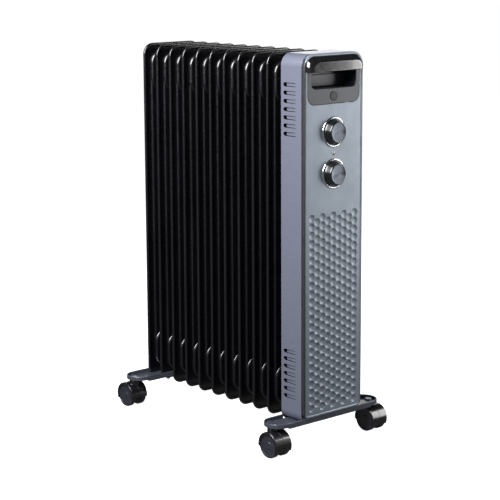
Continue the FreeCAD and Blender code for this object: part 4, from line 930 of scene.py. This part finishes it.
def foot_lacquer():
    # Dark grey metallic lacquer over pressed steel: a darker cousin of the case's
    # finish, with bright edges where the flake catches the light.
    material, shader = finish("metallic_dark_lacquer", {"Metallic": 0.6, "Coat Weight": 0.5,
                                                       "Coat Roughness": 0.1})
    place = mottled(material, shader, "#4c4f5a", "#575a66", 1.5 * MM, 2.0)
    grained(material, shader, place, 3 * MM, 0.03 * MM, 0.3, (0.3, 0.38))
    return material


foot_paint = foot_lacquer()
for node in ("front_bracket", "rear_bracket"):
    bracket = tray(node, "lacquered_" + node)
    if node == "rear_bracket":
        for index in (fin_count - 2, fin_count - 1):
            settle()
            bpy.ops.mesh.primitive_cube_add(size=1, location=(0, first_fin_y + index * fin_pitch,
                                                              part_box(node)[0].z + 1 * MM))
            opening = bpy.context.object
            bpy.ops.transform.resize(value=(fin_slot_long, hem_thick + 0.6 * MM, 6 * MM))
            bpy.ops.object.transform_apply(location=True, rotation=True, scale=True)
            combine(bracket, opening, "DIFFERENCE")
    dress(polish(bracket, 40), foot_paint, "radiator", "foot_paint", node)


# --- Casters ----------------------------------------------
# Twin-wheel furniture casters: a gloss black nylon hood moulded in one with the web
# between the wheels, a steel axle, and two wheels with recessed discs. The hood
# turns on a steel stem riveted through the tray.

hood_wall, wheel_gap, lip_thick, lip_r, web_half = 0.8 * MM, 0.5 * MM, 1.1 * MM, 17.6 * MM, 6 * MM
boss_r, stem_bore_r, axle_bore_r = 8 * MM, 4.05 * MM, 2.02 * MM
groove_half, groove_deep, mouth_drop = 0.5 * MM, 0.35 * MM, 6 * MM
mouth_slope = Vector((0, -6 * MM, 46.6 * MM)).normalized()
over_all = 80 * MM  # above every part of a caster
wheel_low, wheel_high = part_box("wheel_outer_front_right")
wheel_r = (wheel_high.z - wheel_low.z) / 2


def caster_hood(name, stem, axle_y, hood_half):
    """Cover for the front pair, whose axle lies on the -Y side of the stem."""
    hood_r = wheel_r + wheel_gap + hood_wall
    centre = Vector((stem.x, axle_y, wheel_r))
    side_x = Vector((1, 0, 0))
    hood = rod(name, hood_r, centre - side_x * hood_half, centre + side_x * hood_half, 1.0 * MM,
               96, 3)
    boss_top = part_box("caster_hood_front_left")[1].z
    boss = rod("boss", boss_r, (stem.x, stem.y, centre.z + hood_r * 0.6),
               (stem.x, stem.y, boss_top), 0.8 * MM, 48)
    combine(hood, boss, "UNION")
    for side in (-1, 1):
        near = centre + side_x * side * web_half
        for name, radius, reach in (("cavity", wheel_r + wheel_gap, hood_half - lip_thick),
                                    ("face", lip_r, hood_half + 1 * MM)):
            cutter = rod(name, radius, near, centre + side_x * side * reach, 0.0, 96)
            combine(hood, cutter, "DIFFERENCE")
    take(hood)
    bpy.ops.object.mode_set(mode="EDIT")
    bpy.ops.mesh.select_all(action="SELECT")
    bpy.ops.mesh.bisect(plane_co=centre - Vector((0, 0, mouth_drop)), plane_no=mouth_slope,
                        use_fill=True, clear_inner=True)
    settled(hood)
    groove = rod("groove", hood_r + 1 * MM, centre - side_x * groove_half,
                 centre + side_x * groove_half, 0.0, 96)
    core = rod("core", hood_r - groove_deep, centre - side_x * MM, centre + side_x * MM, 0.0, 96)
    combine(groove, core, "DIFFERENCE")
    top = (stem.x, stem.y, over_all)
    combine(groove, rod("keep", boss_r + 0.6 * MM, (stem.x, stem.y, 0), top), "DIFFERENCE")
    combine(hood, groove, "DIFFERENCE")
    for radius, start, end in (
            (stem_bore_r, (stem.x, stem.y, wheel_r + 3.5 * MM), top),
            (axle_bore_r, centre - side_x * 9 * MM, centre + side_x * 9 * MM)):
        combine(hood, rod("bore", radius, start, end, 0.0, 32), "DIFFERENCE")
    return polish(hood, 40)


def caster_wheel(name, near, far, centre):
    """Wheel on the +X side of the web: its rings run outwards from the web."""
    thick = far - near
    wheel = turned(name, [
        (6 * MM, 0.0), (15 * MM, 0.0), (wheel_r - 1.1 * MM, 0.0), (wheel_r - 0.35 * MM, -0.3 * MM),
        (wheel_r, -1.0 * MM), (wheel_r, -thick + 1.1 * MM),
        (wheel_r - 0.35 * MM, -thick + 0.35 * MM),
        (wheel_r - 1.1 * MM, -thick), (wheel_r - 2.8 * MM, -thick),
        (wheel_r - 3.2 * MM, -thick + 0.2 * MM),
        (wheel_r - 3.5 * MM, -thick + 0.8 * MM), (wheel_r - 4.2 * MM, -thick + 1.0 * MM),
        (9 * MM, -thick + 0.7 * MM), (6.2 * MM, -thick + 0.6 * MM), (5.9 * MM, -thick + 0.3 * MM),
        (5.4 * MM, -thick + 0.1 * MM), (4.6 * MM, -thick), (2 * MM, -thick)], (0, 0, 0), 96)
    quarter = Matrix.Rotation(math.radians(90), 4, "Z")
    wheel.data.transform(Matrix.Translation((near, centre.y, centre.z)) @ quarter)
    return polish(wheel, 35)


def caster_nylon():
    # Nylon 6 from a polished mould: gloss black, slightly softer than the knobs.
    material, shader = finish("gloss_nylon_black",
                              {"IOR": 1.53, "Coat Weight": 0.4, "Coat Roughness": 0.08})
    place = mottled(material, shader, "#0b0b0e", "#121216", 9 * MM)
    grained(material, shader, place, 3 * MM, 0.03 * MM, 0.4, (0.2, 0.28))
    return material


def wheel_plastic():
    # Nylon wheel, moulded: dark grey with a satin face, scuffed a little here and there.
    material, shader = finish("satin_nylon_wheel", {"IOR": 1.53})
    place = mottled(material, shader, "#1b1b22", "#25252e", 8 * MM)
    grained(material, shader, place, 1.2 * MM, 0.04 * MM, 0.5, (0.3, 0.42))
    return material


hood_material, wheel_material = caster_nylon(), wheel_plastic()
hood_low, hood_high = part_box("caster_hood_front_right")
axle_low, axle_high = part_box("caster_axle_front_right")
swivels = {j["child"]: Vector(j["pos_m"]) for j in frame["joints"]}
first_stem = swivels["caster_front_right"]
first_axle_y = (axle_low.y + axle_high.y) / 2
hood_half = (hood_high.x - hood_low.x) / 2
first_hood = caster_hood("caster_hood", first_stem, first_axle_y, hood_half)
wheel_near = first_stem.x + web_half + 0.5 * MM
first_wheel = caster_wheel("caster_wheel", wheel_near, wheel_near + (wheel_high.x - wheel_low.x),
                           Vector((0, first_axle_y, wheel_r)))
to_stem = Matrix.Translation(-first_stem)
over = Matrix.Diagonal((-1, 1, 1, 1))
for corner in ("front_left", "front_right", "rear_left", "rear_right"):
    stem = swivels["caster_" + corner]
    place = Matrix.Translation(stem)
    turn = Matrix.Rotation(math.radians(180 if corner.startswith("rear") else 0), 4, "Z")
    hood = copied(first_hood, name="gloss_hood_" + corner, matrix=place @ turn @ to_stem)
    dress(hood, hood_material, "caster_" + corner, "caster_plastic", "caster_hood_" + corner)
    for which in ("outer", "inner"):
        node = "wheel_%s_%s" % (which, corner)
        wheel_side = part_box(node)[0].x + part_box(node)[1].x > 2 * stem.x
        turned_round = corner.startswith("rear")
        flip = over if wheel_side == turned_round else Matrix.Identity(4)
        wheel = copied(first_wheel, name="satin_" + node, matrix=place @ turn @ flip @ to_stem)
        dress(wheel, wheel_material, node, "wheel_plastic", node)
    keep(zinc, "caster_axle_" + corner)
bpy.data.objects.remove(first_hood)
bpy.data.objects.remove(first_wheel)


# --- Floor, light and camera ------------------------------
# A white studio sweep. A soft light at the upper left fades down the case's side, one
# at the right brightens the panel that way, and a weak one behind edges the far rims.
# The sky is bright only near the horizon, so that the black enamel stays black.

SKY_LOW, SKY_HIGH = 0.16, 0.05
settle()
bpy.ops.mesh.primitive_plane_add(size=90)
floor = bpy.context.object
floor.name = "studio_floor"
floor_material = finish("studio_floor_white", {
    "Roughness": 1.0, "Base Color": (0.5, 0.5, 0.5, 1), "Specular IOR Level": 0.0,
    "Emission Color": (1, 1, 1, 1), "Emission Strength": 0.98})[0]
floor.data.materials.append(floor_material)
floor.visible_diffuse = floor.visible_glossy = False

sky = bpy.data.worlds.new("studio_sky")
bpy.context.scene.world = sky
sky.use_nodes = True
heights = add(sky, "ShaderNodeTexCoord")
split = add(sky, "ShaderNodeSeparateXYZ", {"Vector": heights.outputs["Generated"]})
fade = add(sky, "ShaderNodeMapRange", {"Value": split.outputs["Z"], "From Min": 0.1,
                                       "From Max": 0.5,
                                       "To Min": SKY_LOW, "To Max": SKY_HIGH})
sky_light = sky.node_tree.nodes["Background"]
sky_light.inputs["Color"].default_value = (1, 1, 1, 1)
sky.node_tree.links.new(fade.outputs["Result"], sky_light.inputs["Strength"])
bpy.context.scene.view_settings.view_transform = "Standard"


def soft_light(name, place, aim, width, height, power):
    settle()
    bpy.ops.object.light_add(type="AREA", location=place)
    lamp = bpy.context.object
    lamp.name = name
    lamp.data.shape, lamp.data.size, lamp.data.size_y = "RECTANGLE", width, height
    lamp.data.energy = power
    lamp.rotation_mode = "QUATERNION"
    lamp.rotation_quaternion = (Vector(aim) - Vector(place)).to_track_quat("-Z", "Y")


soft_light("light_left", (-0.95, -0.25, 1.2), (-0.06, -0.18, 0.5), 0.8, 1.0, 66)
soft_light("light_right", (0.99, -0.84, 0.5), (0.0, -0.2, 0.4), 0.5, 0.9, 12)
soft_light("light_back", (1.3, 1.6, 0.98), (0.0, 0.1, 0.6), 1.8, 0.5, 5)

CAMERA_AZIMUTH, CAMERA_HEIGHT, CAMERA_DISTANCE = -40.65, 9.76, 2562.29 * MM
LENS_RUN, FRAME_SIDE, AXIS_ROW = 1572.28, 500, 210
aim = Vector((-0.41 * MM, 195.97 * MM + panel_field_y, case_top - 265.59 * MM))
turn, rise = math.radians(CAMERA_AZIMUTH), math.radians(CAMERA_HEIGHT)
back = Vector((math.sin(turn) * math.cos(rise), -math.cos(turn) * math.cos(rise), math.sin(rise)))
settle()
bpy.ops.object.camera_add(location=aim + back * CAMERA_DISTANCE)
camera = bpy.context.object
camera.rotation_mode = "QUATERNION"
level = (-back).to_track_quat("-Z", "Y")
camera.rotation_quaternion = level @ Matrix.Rotation(math.radians(-0.29), 4, "Z").to_quaternion()
camera.data.lens = LENS_RUN / FRAME_SIDE * camera.data.sensor_width
camera.data.shift_y = (AXIS_ROW - FRAME_SIDE / 2) / FRAME_SIDE
bpy.context.scene.camera = camera

settle()
